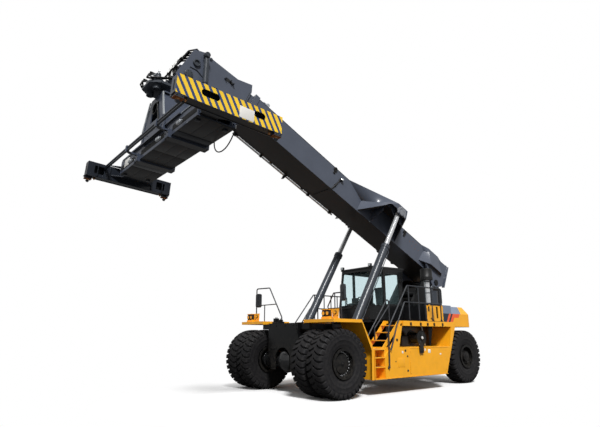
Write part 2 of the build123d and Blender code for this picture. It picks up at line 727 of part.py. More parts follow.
def cab_frame():
    shell = side_plate(cab_outline(0), -CAB_HALF, CAB_HALF)
    shell -= side_plate(cab_outline(CAB_WALL), -CAB_HALF + CAB_WALL, CAB_HALF - CAB_WALL)
    cut = CAB_HALF + 10
    shell -= side_plate(FRONT_SIDE, CAB_HALF - CAB_WALL - 10, cut)
    shell -= side_plate(FRONT_SIDE, -cut, CAB_WALL + 10 - CAB_HALF)
    shell -= side_plate(RIGHT_REAR_SIDE, -cut, CAB_WALL + 10 - CAB_HALF)
    shell -= box(DOOR_X[0], DOOR_X[1], CAB_HALF - CAB_WALL - 10, cut, DOOR_Z[0], DOOR_Z[1])
    inner = CAB_HALF - POST
    shell -= box(CAB_FRONT_LOW_X - 290, CAB_FRONT_LOW_X + 10, -inner, inner, WINDOW_LOW, WINDOW_HIGH)
    shell -= box(CAB_REAR_TOP[0] - 10, CAB_REAR_LOW_X + 80, -inner, inner, WINDOW_LOW + 100, WINDOW_HIGH)
    # feet that stand the cab on the frame deck
    for x in (CAB_REAR_LOW_X + 120, CAB_FRONT_LOW_X - 120):
        for y in (-450, 450):
            shell += box(x - 80, x + 80, y - 80, y + 80, NOSE_TOP + 50, CAB_FLOOR + 5)
    return shell


def cab_roof():
    front_x, front_z = CAB_FRONT_TOP
    rear_x, rear_z = CAB_REAR_TOP
    lip = 30
    slope = (rear_z - front_z) / (rear_x - front_x)
    nose = (front_x + lip, front_z + slope * lip)
    tail = (rear_x - lip, rear_z - slope * lip)
    outline = [
        nose, (nose[0], nose[1] + 45), (nose[0] - 60, nose[1] + 60),
        (tail[0] + 60, tail[1] + 60), (tail[0], tail[1] + 45), tail,
    ]
    return side_plate(outline, -CAB_HALF - 15, CAB_HALF + 15)


def inset_outline(outline, gap):
    """A four-sided pane outline moved in by a gap on every side."""
    face = make_face(Polyline([(x, 0, z) for x, z in outline], close=True))
    wire = offset(face, amount=-gap, kind=Kind.INTERSECTION)
    return wire


def side_pane(outline, y):
    face = inset_outline(outline, FIT_GAP)
    return Pos(0, y, 0) * extrude(face, amount=GLASS, dir=(0, 1, 0))


def cab_glass():
    mid = CAB_HALF - CAB_WALL / 2
    panes = [side_pane(FRONT_SIDE, mid)]
    panes += [side_pane(window, -mid - GLASS) for window in (FRONT_SIDE, RIGHT_REAR_SIDE)]
    half = CAB_HALF - POST - FIT_GAP
    low, high = WINDOW_LOW + FIT_GAP, WINDOW_HIGH - FIT_GAP
    lean = (CAB_FRONT_TOP[0] - CAB_FRONT_LOW_X) / (CAB_FRONT_TOP[1] - CAB_BELT)
    front = [(CAB_FRONT_LOW_X - 30 + lean * (z - CAB_BELT), z) for z in (low, high)]
    outline = front + [(x - GLASS, z) for x, z in reversed(front)]
    panes.append(side_plate(outline, -half, half))
    lean = (CAB_REAR_TOP[0] - CAB_REAR_LOW_X) / (CAB_REAR_TOP[1] - CAB_BELT)
    rear = [(CAB_REAR_LOW_X + 30 + lean * (z - CAB_BELT), z) for z in (low + 100, high)]
    outline = rear + [(x - GLASS, z) for x, z in reversed(rear)]
    panes.append(side_plate(outline, -half, half))
    return panes


def cab_door():
    gap = SIDE_GAP
    x0, x1 = DOOR_X[0] + gap, DOOR_X[1] - gap
    door = box(x0, x1, CAB_HALF - CAB_WALL, CAB_HALF, DOOR_Z[0] + gap, DOOR_Z[1] - gap)
    window = (WINDOW_LOW + 60, WINDOW_HIGH - POST)
    door -= box(x0 + POST, x1 - POST, CAB_HALF - CAB_WALL - 1, CAB_HALF + 1, *window)
    # hinge barrels beside the rear post, and a pull handle
    for z in (2250, 3150):
        door += z_bar(DOOR_X[0] - 20, CAB_HALF + 22, 16, z, z + 90)
        door += box(DOOR_X[0] - 20, x0 + 20, CAB_HALF + 8, CAB_HALF + 20, z, z + 90)
        door += box(x0 + 5, x0 + 20, CAB_HALF - 5, CAB_HALF + 20, z, z + 90)
        door -= z_bar(DOOR_X[0] - 20, CAB_HALF + 22, 8 + PIN_GAP, z - 5, z + 95)
    grip = [(CAB_HALF - 5, 2150), (CAB_HALF + 60, 2150), (CAB_HALF + 60, 2420), (CAB_HALF - 5, 2420)]
    door += pipe([(x1 - 30, y, z) for y, z in grip], 25, 10)
    return door


def door_hinge_pins():
    """Hinge pins fixed to the cab's rear post by small brackets."""
    pins = Part()
    for z in (2250, 3150):
        pins += box(DOOR_X[0] - 36, DOOR_X[0] - 4, CAB_HALF - 5, CAB_HALF + 38, z - 20, z - 1)
        pins += z_bar(DOOR_X[0] - 20, CAB_HALF + 22, 8, z - 10, z + 90)
    return pins


def door_glass():
    gap = SIDE_GAP + POST + FIT_GAP
    y = CAB_HALF - CAB_WALL / 2
    low, high = WINDOW_LOW + 60 + FIT_GAP, WINDOW_HIGH - POST - FIT_GAP
    return box(DOOR_X[0] + gap, DOOR_X[1] - gap, y, y + GLASS, low, high)


def seat():
    base = box(-2780, -2420, -200, 200, CAB_FLOOR + CAB_WALL, 2300)
    cushion = box(-2820, -2330, -240, 240, 2300, 2420)
    back = side_plate([(-2830, 2380), (-2720, 2380), (-2830, 3060), (-2910, 3060)], -240, 240)
    return base + cushion + back


def console():
    column = bar((-1850, 0, CAB_FLOOR + CAB_WALL + 60), (-2020, 0, 2560), 45)
    wheel = Pos(-2035, 0, 2590) * Rot(0, -20, 0) * Torus(190, 16)
    wheel += Pos(-2035, 0, 2590) * Rot(0, -20, 0) * Box(380, 30, 16)
    wheel += bar((-2015, 0, 2540), (-2042, 0, 2610), 40)
    floor = CAB_FLOOR + CAB_WALL
    outline = [(-1660, floor), (-1660, 2440), (-1800, 2480), (-1860, 2300), (-1800, floor)]
    dash = side_plate(outline, -420, 420) + box(-1900, -1790, -60, 60, floor, 2200)
    arm = box(-2800, -2420, -380, -260, floor, 2520)
    return column + wheel + dash, arm


LAMP_X = 1020
LAMP_PITCH = 150


def lamp_set(y):
    """Two work lamps in a bracket, and a turned plate with a marker lamp beside them."""
    low = DECK_TOP + 60
    lamps = box(LAMP_X - 60, LAMP_X + 60, y, y + 2 * LAMP_PITCH, DECK_TOP, low)
    lamps += box(LAMP_X - 60, LAMP_X + 60, y, y + 2 * LAMP_PITCH, low + 170, low + 185)
    for k in (0.5, 1.5):
        centre = y + k * LAMP_PITCH
        lamps += box(LAMP_X - 60, LAMP_X + 40, centre - 60, centre + 60, low - 5, low + 175)
        lamps += bar((LAMP_X + 35, centre, low + 85), (LAMP_X + 60, centre, low + 85), 52)
    marker = y + 2 * LAMP_PITCH
    plate = [
        (marker + 70, DECK_TOP), (marker + 250, DECK_TOP), (marker + 280, low + 185), (marker + 40, low + 185)
    ]
    lamps += cross_plate(plate, LAMP_X - 20, LAMP_X)
    lamps += box(LAMP_X - 60, LAMP_X, marker - 5, marker + 255, DECK_TOP, DECK_TOP + 20)
    lamps += bar((LAMP_X - 5, marker + 160, low + 95), (LAMP_X + 25, marker + 160, low + 95), 32)
    return lamps


def headlamps():
    return lamp_set(1410), lamp_set(-2040)


MIRROR_X = 830
MIRROR_Y = 1890
MIRROR_Z = 2530
MIRROR_TURN = 14.5
MIRROR_HEAD = (200, 420, 60, 55)


def mirror_head(side, y):
    """A mirror turned towards the driver, on an arm from its post."""
    wide, high, deep, corner = MIRROR_HEAD
    face = Plane.YZ.offset(-deep / 2) * RectangleRounded(wide, high, corner)
    head = extrude(face, amount=deep, dir=(1, 0, 0))
    head = Pos(MIRROR_X - 75, y, MIRROR_Z) * Rot(0, 0, side * MIRROR_TURN) * head
    return head + bar((MIRROR_X, y, MIRROR_Z), (MIRROR_X - 80, y, MIRROR_Z), 16)


def mirrors():
    """Guard hoops across the front of the fenders, each with its mirror."""
    x, y = MIRROR_X, MIRROR_Y
    bends = [(y, DECK_TOP), (y, 2525), (1620, 2525), (1390, 2190), (1420, 2140), (y, 2140)]
    left = pipe([(x, across, z) for across, z in bends], 30, 16)
    left += z_bar(x, 1660, 14, 2140, 2525)
    left += z_bar(x, y, 15, 2500, 2620)
    bends = [(-y, DECK_TOP), (-y, 2890), (-1200, 2870), (-580, 1990), (-580, NOSE_TOP)]
    right = pipe([(x, across, z) for across, z in bends], 60, 18)
    right += bar((x, -y, 2370), (x, -860, 2370), 15)
    right += z_bar(x, -1450, 15, DECK_TOP, 2370)
    return left + mirror_head(-1, y), right + mirror_head(1, -y)


def hose_drum():
    """A cable reel on a stub from the back of the body side's opening."""
    x, z, y0 = -2300, 1410, SKIRT_INNER_Y + PANEL
    drum = y_bar(x, z, 60, y0, 1960)
    for y, radius in ((1560, 190), (1900, 205)):
        drum += y_bar(x, z, radius, y, y + 30)
    drum += y_bar(x, z, 120, 1580, 1910)
    valve = box(-1900, -1640, y0, 1760, 1190, 1450)
    return drum, valve


# ---------------------------------------------------------------- boom
def shoulder():
    """The flare at the boom's foot, in two runs with a crease between them."""
    near = BOOM_HALF - BOOM_WALL / 2
    sections = (
        (395, [(990, near), (589, 740), (-53, 740), (-250, 600), (-250, near)]),
        (851, [(830, near), (676, 620), (90, 620), (-182, 520), (-182, near)]),
        (BOOM_TOP, [(1037, near), (705, 580), (138, 580), (-160, 500), (-160, near)]),
    )
    outlines = [[(x, y, z) for x, y in outline] for z, outline in sections]
    return ruled(outlines[0], outlines[1]) + ruled(outlines[1], outlines[2])


WING_WEB_Y = 944
WING_CUT = [
    (3900, 500), (3690, 752), (3560, 840), (3300, 850), (3200, 760),
    (3100, 700), (2980, 700), (2860, 770), (2760, 500),
]


def wing():
    """A hollow bracket of sloping plates, open below, that takes a lift rod's eye."""
    near, far, plate = BOOM_HALF - BOOM_WALL / 2, WING_OUT, 30
    root = [(4975, BOOM_TOP), (4239, 681), (4276, 284), (2306, 290), (2180, BOOM_TOP)]
    tip = [(3274, 1055), (3700, 745), (3790, 640), (2780, 760), (2800, 1060)]
    hollow_root = [(4870, 980), (4200, 660), (4235, 150), (2345, 150), (2220, 980)]
    hollow_tip = [(3262, 1030), (3660, 735), (3740, 500), (2825, 560), (2835, 1035)]
    outside = ruled([(x, near, z) for x, z in root], [(x, far, z) for x, z in tip])
    hollow = ruled([(x, near - 5, z) for x, z in hollow_root], [(x, far - plate, z) for x, z in hollow_tip])
    hollow -= box(2000, 5200, near - 10, BOOM_HALF, -200, 1400)
    bracket = outside - hollow
    # the inner web beside the rod's eye, and a rib ahead of it
    web = side_plate([(2700, 500), (2700, 1100), (3800, 1100), (3800, 500)], WING_WEB_Y, WING_WEB_Y + 25)
    rib_edge = WING_WEB_Y + 5
    rib = cross_plate([(near, 270), (900, 548), (rib_edge, 560), (rib_edge, 1010), (near, 1000)], 3630, 3646)
    bracket += (web + rib) & outside
    bracket -= side_plate(WING_CUT, WING_WEB_Y - 1, far + 1)
    bracket += y_bar(LIFT_TOP[0], LIFT_TOP[1], 115, LIFT_Y + LIFT_ROD_R + 6, far + 20)
    return bracket


def outer_boom():
    """The outer boom section: a welded box, open at the nose, with its pivot cheeks,
    the flared shoulders at its foot and the hollow wings that take the lift rods."""
    half, low, top, wall = BOOM_HALF, BOOM_LOW, BOOM_TOP, BOOM_WALL
    shell = box(BOOM_REAR, BOOM_NOSE, -half, half, low, top)
    shell -= box(BOOM_REAR + wall, BOOM_NOSE + 1, wall - half, half - wall, low + wall, top - wall)
    collar = box(BOOM_NOSE - 160, BOOM_NOSE, -half - 28, half + 28, low - 28, top + 28)
    collar -= box(BOOM_NOSE - 161, BOOM_NOSE + 1, -half + 5, half - 5, low + 5, top - 5)
    shell += collar
    pad_y, pad_z = half - wall - INNER_GAP + PAD_GAP, INNER_GAP - PAD_GAP
    for y0, y1 in ((pad_y, half - 5), (5 - half, -pad_y)):
        shell += box(BOOM_NOSE - 150, BOOM_NOSE - 10, y0, y1, low + 120, low + 240)
        shell += box(BOOM_NOSE - 150, BOOM_NOSE - 10, y0, y1, top - 240, top - 120)
    for y in (-250, 250):
        shell += box(BOOM_NOSE - 150, BOOM_NOSE - 10, y - 80, y + 80, low + 5, low + wall + pad_z)
        shell += box(BOOM_NOSE - 150, BOOM_NOSE - 10, y - 80, y + 80, top - wall - pad_z, top - 5)
    cheek = side_plate(
        [(-480, 895), (-364, 50), (-60, -165), (170, -165), (420, 60), (700, 360), (700, 700), (0, 895)],
        CHEEK_IN,
        CHEEK_OUT,
    )
    flange = box(-480, -415, 0, CHEEK_IN + 10, low + 20, 960)
    flange += box(-480, -450, CHEEK_IN, CHEEK_OUT + 40, 60, 895)
    shell += both_sides(shoulder() + cheek + flange + wing())
    shell -= both_sides(y_bar(0, 0, PIVOT_R + PIN_GAP, CHEEK_IN - 20, CHEEK_OUT + 20))
    return BOOM * shell


PIPE_R = 22
PIPE_RUNS = ((1100, 2100), (4450, 8700))


def boom_pipes():
    """Steel hydraulic pipes clipped along the right-hand side of the boom, behind and
    ahead of the wing."""
    y = -BOOM_HALF - 45
    runs = []
    for start, end in PIPE_RUNS:
        run = Part()
        for up in (BOOM_LOW + 40, BOOM_LOW + 100):
            run += bar((start, y, up), (end, y, up), PIPE_R)
        clips = max(2, round((end - start) / 1000))
        for k in range(clips):
            along = start + 100 + (end - start - 200) * k / (clips - 1)
            run += box(along - 40, along + 40, y - 30, -BOOM_HALF, BOOM_LOW + 5, BOOM_LOW + 135)
        runs.append(BOOM * run)
    return runs


def inner_boom():
    """The inner boom section with the head plates that carry the tilt pin."""
    half = BOOM_HALF - BOOM_WALL - INNER_GAP
    low, top = BOOM_LOW + BOOM_WALL + INNER_GAP, BOOM_TOP - BOOM_WALL - INNER_GAP
    wall = 16
    front = 10300
    shell = box(INNER_REAR, front, -half, half, low, top)
    shell -= box(INNER_REAR - 1, front - wall, wall - half, half - wall, low + wall, top - wall)
    pad = INNER_GAP - PAD_GAP
    for y0, y1 in ((half - 2, half + pad), (-half - pad, 2 - half)):
        for z0 in (low + 100, top - 220):
            shell += box(INNER_REAR + 20, INNER_REAR + 220, y0, y1, z0, z0 + 120)
    for z0, z1 in ((low - pad, low + 2), (top - 2, top + pad)):
        for y in (-250, 250):
            shell += box(INNER_REAR + 20, INNER_REAR + 220, y - 80, y + 80, z0, z1)
    pin_a, pin_b = TILT_PIN
    plate = [
        (9130, low + 5),
        (9130, 985),
        (9220, 1211),
        (9650, 1010),
        (10600, 930),
        (10730, 950),
        (11010, 783),
        (pin_a + 260, pin_b - 243),
        (pin_a - 60, pin_b - 260),
        (pin_a - 320, pin_b + 10),
        (10000, low + 5),
    ]
    shell += both_sides(side_plate(plate, half - 5, BOOM_HALF))
    shell += y_bar(10870, 760, 70, -half - 1, half + 1)
    shell += y_bar(pin_a, pin_b, TILT_PIN_R, -BOOM_HALF - 25, BOOM_HALF + 25)
    top_a, top_b = DAMPER_TOP
    shell += y_bar(top_a, top_b, DAMPER_PIN_R, -DAMPER_Y - 60, DAMPER_Y + 60)
    return BOOM * shell


# ---------------------------------------------------------------- cylinders
GLAND_SCALE = 1.1


def cylinder_barrel(foot, head, y, length, radius, bore, rod, pin, eye):
    """A cylinder barrel from its foot pin towards the rod's eye: tube, gland and foot."""
    foot, head = Vector(foot.X, y, foot.Z), Vector(head.X, y, head.Z)
    way = (head - foot).normalized()
    base = pin * 3
    wall = 30
    tube = bar(foot + way * base, foot + way * length, radius)
    tube += bar(foot + way * (length - 90), foot + way * (length + 15), radius * GLAND_SCALE)
    tube += bar(foot, foot + way * (base + 10), eye)
    tube += y_bar(foot.X, foot.Z, pin * 2, y - eye, y + eye)
    tube -= bar(foot + way * (base + wall), foot + way * (length - 80), bore)
    tube -= bar(foot + way * (length - 80), foot + way * (length + 30), rod + PIN_GAP)
    tube -= y_bar(foot.X, foot.Z, pin + PIN_GAP, y - eye - 10, y + eye + 10)
    return tube


def cylinder_rod(foot, head, y, length, bore, rod, eye_r, eye):
    """A piston rod that ends in a solid eye, from the eye back into the barrel."""
    foot, head = Vector(foot.X, y, foot.Z), Vector(head.X, y, head.Z)
    way = (head - foot).normalized()
    stem = bar(head - way * length, head, rod)
    stem += bar(head - way * length, head - way * (length - rod * 0.75), bore - FIT_GAP)
    stem += y_bar(head.X, head.Z, eye_r, y - eye, y + eye)
    return stem


def lift_cylinders():
    foot, head = Vector(LIFT_FOOT[0], 0, LIFT_FOOT[1]), boom_point(*LIFT_TOP)
    span = (head - foot).length
    for name, y in (("left", LIFT_Y), ("right", -LIFT_Y)):
        barrel = cylinder_barrel(
            foot, head, y, span - LIFT_OPEN, LIFT_BARREL_R, LIFT_BORE_R, LIFT_ROD_R, LIFT_PIN_R,
            LIFT_FOOT_HALF,
        )
        save(f"{name}_lift_barrel", barrel)
        rod = cylinder_rod(
            foot, head, y, span - LIFT_PISTON, LIFT_BORE_R, LIFT_ROD_R, LIFT_EYE_R, LIFT_EYE_HALF
        )
        save(f"{name}_lift_rod", rod)


def damper_cylinders():
    top, foot = boom_point(*DAMPER_TOP), hang_point(*DAMPER_FOOT)
    barrels, rods, bore = [], [], DAMPER_R - 15
    for y in (DAMPER_Y, -DAMPER_Y):
        barrels.append(
            cylinder_barrel(top, foot, y, DAMPER_BARREL, DAMPER_R, bore, DAMPER_ROD_R, DAMPER_PIN_R, 45)
        )
        rods.append(cylinder_rod(top, foot, y, DAMPER_ROD, bore, DAMPER_ROD_R, 60, 40))
    save("damper_barrels", *barrels)
    save("damper_rods", *rods)


# ---------------------------------------------------------------- head and spreader
EAR_IN = BOOM_HALF + 6
MOTOR_X = 650
MOTOR_STACK = ((90, -110, 5), (145, 55, 105), (105, 100, 225), (55, 220, 275))


def tilt_yoke():
    """The hanger on the tilt pin, with the slewing motors on its front shelf."""
    leg_in, leg_out, boss = EAR_IN - 176, EAR_IN - 126, EAR_IN - 76
    yoke = y_bar(0, 0, 140, -boss, boss)
    leg = [(-140, 0), (-300, RING_TOP + 60), (330, RING_TOP + 60), (140, 0)]
    yoke += both_sides(side_plate(leg, leg_in, leg_out))
    yoke += z_bar(0, 0, RING_R - 20, RING_TOP, RING_TOP + 60)
    shelf = [(0, -420), (0, 420), (640, 420), (860, 250), (860, -250), (640, -420)]
    yoke += plan_plate(shelf, RING_TOP, RING_TOP + 60)
    for y in (-215, 215):
        for radius, low, high in MOTOR_STACK:
            yoke += z_bar(MOTOR_X, y, radius, RING_TOP + low, RING_TOP + high)
    # ears either side of the slewing ring, with the stub pins that the dampers push on
    foot_x, foot_z = DAMPER_FOOT
    ear_out = EAR_IN + 44
    arm = [
        (-300, leg_out), (-300, EAR_IN), (foot_x - 60, EAR_IN),
        (foot_x - 60, ear_out), (-100, ear_out), (-100, leg_out),
    ]
    ear = plan_plate(arm, RING_TOP, RING_TOP + 60)
    ear += box(foot_x - 60, foot_x + 60, EAR_IN, ear_out, foot_z - 50, RING_TOP + 60)
    ear += y_bar(foot_x, foot_z, 45, ear_out - 4, DAMPER_Y - 46)
    yoke += both_sides(ear)
    yoke -= y_bar(0, 0, TILT_PIN_R + PIN_GAP, -boss - 50, boss + 50)
    return HANG * yoke


FLANGE_TOP = SLEEVE_TOP - TWISTLOCK_DROP
CARRIAGE_HALF_Y = 700


def rotator():
    """The slewing ring, the trunk below it and the carriage that the sleeve hangs in."""
    ring_low = RING_TOP - 110
    body = z_bar(0, 0, RING_R - 60, ring_low, RING_TOP - PAD_GAP)
    body += z_bar(0, 0, RING_R - 100, ring_low - 60, ring_low + 5)
    plate_x = SLEEVE_HALF_X + 50 + PAD_GAP
    for sign in (-1, 1):
        x0, x1 = sorted((sign * plate_x, sign * (plate_x + 30)))
        outline = [
            (-CARRIAGE_HALF_Y, FLANGE_TOP - 90), (-CARRIAGE_HALF_Y, FLANGE_TOP + 180), (-330, ring_low - 55),
            (330, ring_low - 55), (CARRIAGE_HALF_Y, FLANGE_TOP + 180), (CARRIAGE_HALF_Y, FLANGE_TOP - 90),
        ]
        wall = cross_plate(outline, x0, x1)
        window = [
            (-230, FLANGE_TOP + 330), (-200, ring_low - 250), (200, ring_low - 250), (230, FLANGE_TOP + 330)
        ]
        wall -= cross_plate(window, x0 - 1, x1 + 1)
        body += wall
        h0, h1 = sorted((sign * (SLEEVE_HALF_X + 10), sign * (plate_x + 5)))
        hook_top = FLANGE_TOP - 40 - PAD_GAP
        body += box(h0, h1, -CARRIAGE_HALF_Y, CARRIAGE_HALF_Y, FLANGE_TOP - 90, hook_top)
    body += box(-plate_x - 5, plate_x + 5, -400, 400, ring_low - 90, ring_low - 55)
    brace = [
        (330, ring_low - 60), (660, FLANGE_TOP + 220), (660, FLANGE_TOP + 60),
        (640, FLANGE_TOP + 60), (640, FLANGE_TOP + 215), (310, ring_low - 60),
    ]
    body += both_sides(cross_plate(brace, -plate_x - 5, plate_x + 5))
    return HANG * body


def up(z):
    """Height above the plane of the twistlocks, turned into the hanging frame's Z."""
    return z - TWISTLOCK_DROP


WEB_HALF = 10
SLEEVE_WALL = 25
ARM_GAP = 15
SLEEVE_BELTS = (-950, 950)


def spreader_frame():
    """The middle sleeve that the two telescopic arms slide in, side by side."""
    x, y = SLEEVE_HALF_X, SLEEVE_HALF_Y
    wall = SLEEVE_WALL
    sleeve = box(-x, x, -y, y, up(SLEEVE_LOW), up(SLEEVE_TOP))
    for x0, x1 in ((WEB_HALF, x - wall), (wall - x, -WEB_HALF)):
        sleeve -= box(x0, x1, -y - 1, y + 1, up(SLEEVE_LOW + wall), up(SLEEVE_TOP - wall))
        for y0 in (-y + 10, y - 110):
            # pads in the mouths guide the arms
            inside, pad = SLEEVE_LOW + wall, ARM_GAP - PAD_GAP
            sleeve += box(x0 + 40, x1 - 40, y0, y0 + 100, up(inside - 2), up(inside + pad))
            inside = SLEEVE_TOP - wall
            sleeve += box(x0 + 40, x1 - 40, y0, y0 + 100, up(inside - pad), up(inside + 2))
            for side, edge in ((1, x0), (-1, x1)):
                e0, e1 = sorted((edge - side * 2, edge + side * (ARM_GAP - PAD_GAP)))
                sleeve += box(e0, e1, y0, y0 + 100, up(SLEEVE_LOW + 120), up(SLEEVE_TOP - 120))
    for sign in (-1, 1):
        x0, x1 = sorted((sign * (x - 5), sign * (x + 50)))
        sleeve += box(x0, x1, -1500, 1500, up(SLEEVE_TOP - 40), up(SLEEVE_TOP))
    for y0 in SLEEVE_BELTS:
        sleeve += box(-x - 70, x + 70, y0 - 110, y0 + 110, up(SLEEVE_LOW - 50), up(SLEEVE_LOW + 5))
        cheek = box(x - 5, x + 70, y0 - 110, y0 + 110, up(SLEEVE_LOW - 50), up(SLEEVE_LOW + 150))
        sleeve += both_ends(cheek)
        # guides for the long front rods
        reach = GUIDE_ROD_R + 17
        low, high = up(ROD_LOW - reach), up(ROD_LOW + ROD_PITCH + reach)
        guide = box(ROD_X - reach, ROD_X + reach, y0 - 40, y0 + 40, low, high)
        guide += box(x - 5, ROD_X - reach + 5, y0 - 40, y0 + 40, up(ROD_LOW - 60), up(ROD_LOW - 20))
        for z in (ROD_LOW, ROD_LOW + ROD_PITCH):
            guide -= y_bar(ROD_X, up(z), GUIDE_ROD_R + PIN_GAP, y0 - 50, y0 + 50)
        sleeve += guide
    for y0 in (HOSE_ROUTE[0][0], HOSE_ROUTE[-1][0]):
        gland = box(HOSE_X - 32, -x + 5, y0 - 40, y0 + 40, up(HOSE_ROUTE[0][1]), up(HOSE_ROUTE[0][1] + 80))
        sleeve += gland
    return HANG * sleeve


HOSE_R = 14
HOSE_X = -SLEEVE_HALF_X - 32
# the free hose's route between its two glands: y, and height above the twistlocks' plane
HOSE_ROUTE = (
    (1360, 310), (1360, 165), (1435, 5), (1575, -115), (1765, -160),
    (1955, -135), (2120, -35), (2235, 95), (2290, 195), (2290, 310),
)


def rounded_route(points):
    """Straight runs through the points, joined by the largest tangent arcs that they allow."""
    edges, here = [], points[0]
    for before, corner, after in zip(points, points[1:], points[2:]):
        run_in, run_out = corner - before, after - corner
        reach = 0.45 * min(run_in.length, run_out.length)
        turn = math.radians(run_in.get_angle(run_out))
        print("hose bend radius", round(reach / math.tan(turn / 2)))
        leave = corner - run_in.normalized() * reach
        edges.append(Line(here, leave))
        here = corner + run_out.normalized() * reach
        edges.append(TangentArc(leave, here, tangent=run_in))
    edges.append(Line(here, points[-1]))
    return Wire(edges)


def sleeve_hose():
    """The free hose that hangs in a loop behind the sleeve, as one round tube."""
    path = rounded_route([Vector(HOSE_X, y, up(height)) for y, height in HOSE_ROUTE])
    start = Plane(origin=path @ 0, z_dir=path % 0)
    tube = sweep(start * Circle(HOSE_R), path=path)
    drawn = math.pi * HOSE_R**2 * path.length
    print("hose length", round(path.length), "volume ratio", round(tube.volume / drawn, 4))
    return HANG * tube


def both_ends(shape):
    return shape + mirror(shape, about=Plane.YZ)


ROD_X = 760
ROD_LOW = 350
ROD_PITCH = 80
SLOT_HEIGHT = 150
SLOT_CENTRE = 312
SLOTS = ((510, 400), (-640, 280))


def end_beam(side):
    """A telescopic arm, its end beam with four-way slots, and a twistlock at each corner."""
    beam = box(-BEAM_HALF_X, BEAM_HALF_X, BEAM_IN, BEAM_OUT, up(BEAM_LOW), up(BEAM_TOP))
    inside = BEAM_HALF_X - 20
    beam -= box(-inside, inside, BEAM_IN + 20, BEAM_OUT - 25, up(BEAM_LOW + 20), up(BEAM_TOP - 20))
    for x, length in SLOTS:
        slot = Pos(x, BEAM_OUT, up(SLOT_CENTRE)) * Rot(90, 0, 0) * SlotOverall(length, SLOT_HEIGHT)
        beam -= extrude(slot, amount=60, both=True)
    for x in (-900, 900):
        beam -= box(x - 130, x + 130, BEAM_IN - 5, BEAM_IN + 25, up(BEAM_LOW + 90), up(BEAM_TOP - 90))
    inner_edge = WEB_HALF + ARM_GAP
    outer_edge = SLEEVE_HALF_X - SLEEVE_WALL - ARM_GAP
    low, high = SLEEVE_LOW + SLEEVE_WALL + ARM_GAP, SLEEVE_TOP - SLEEVE_WALL - ARM_GAP
    x0, x1 = (inner_edge, outer_edge) if side > 0 else (-outer_edge, -inner_edge)
    arm = box(x0, x1, -ARM_INNER_END, BEAM_IN + 5, up(low), up(high))
    arm -= box(x0 + 16, x1 - 16, -ARM_INNER_END - 1, BEAM_IN - 60, up(low + 16), up(high - 16))
    gusset = [(-620, BEAM_IN + 5), (x0 + 5, GUSSET_START), (x1 - 5, GUSSET_START), (620, BEAM_IN + 5)]
    for z in (low, high - 30):
        arm += plan_plate(gusset, up(z), up(z + 30))
    beam += arm
    rod_z = up(ROD_LOW + (ROD_PITCH if side > 0 else 0))
    beam += y_bar(ROD_X, rod_z, GUIDE_ROD_R, 30 - BEAM_IN, BEAM_IN + 5)
    for x in (-TWISTLOCK_X, TWISTLOCK_X):
        beam += box(x - 90, x + 90, TWISTLOCK_Y - 73, TWISTLOCK_Y + 73, up(12), up(BEAM_LOW + 5))
        beam += z_bar(x, TWISTLOCK_Y, 34, up(-40), up(20))
        head = extrude(Pos(x, TWISTLOCK_Y, up(-35)) * Rectangle(100, 60), amount=-50, taper=30)
        beam += head
    if side < 0:
        beam = mirror(beam, about=Plane.XZ)
    return HANG * beam


# ---------------------------------------------------------------- writing the pieces
def main():
    save("chassis_frame", chassis_frame())
    save("boom_towers", boom_towers())
    save("deck", *deck())
    save("front_axle", front_axle())
    save("rear_axle", rear_axle())
    hub = Pos(FRONT_AXLE_X, 0, AXLE_Z)
    rear_hub = Pos(REAR_AXLE_X, 0, AXLE_Z)
    for name, side in (("left", 1), ("right", -1)):
        def placed(shape):
            return shape if side > 0 else mirror(shape, about=Plane.XZ)

        tyres = [placed(hub * tyre(y)) for y in (FRONT_OUTER_Y, FRONT_OUTER_Y - DUAL_PITCH)]
        save(f"front_{name}_tyres", *tyres)
        save(f"front_{name}_rims", placed(hub * front_wheel()))
        save(f"rear_{name}_tyre", placed(rear_hub * tyre(REAR_TYRE_Y)))
        save(f"rear_{name}_rim", placed(rear_hub * rear_wheel()))
        save(f"rear_{name}_knuckle", knuckle(side))
        save(f"{name}_fender", placed(fender()))
        save(f"{name}_skirt", placed(skirt()))
        save(f"{name}_engine_cover", engine_cover(side))
        save(f"{name}_engine_door", engine_door(side))
        save(f"{name}_end_beam", end_beam(side))
    steps = ladder()
    save("ladders", steps, mirror(steps, about=Plane.XZ))
    rails = handrails()
    save("handrails", *rails, *[mirror(rail, about=Plane.XZ) for rail in rails])
    save("counterweight", counterweight())
    save("engine_block", engine_block())
    save("exhaust", *exhaust())
    save("air_canister", air_canister())
    save("cab_frame", cab_frame() + door_hinge_pins())
    save("cab_roof", cab_roof())
    save("cab_glass", *cab_glass())
    save("cab_door", cab_door())
    save("door_glass", door_glass())
    save("seat", seat())
    save("console", *console())
    save("headlamps", *headlamps())
    save("mirrors", *mirrors())
    for name, side in (("left", 1), ("right", -1)):
        parts = hose_drum() if side > 0 else [mirror(part, about=Plane.XZ) for part in hose_drum()]
        save(f"{name}_hose_drum", *parts)
    save("outer_boom", outer_boom())
    save("boom_pipes", *boom_pipes())
    save("inner_boom", inner_boom())
    lift_cylinders()
    damper_cylinders()
    save("tilt_yoke", tilt_yoke())
    save("rotator", rotator())
    save("spreader_frame", spreader_frame())
    save("sleeve_hose", sleeve_hose())


main()
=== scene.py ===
import bmesh
import bpy
import math
from mathutils import Matrix, Vector


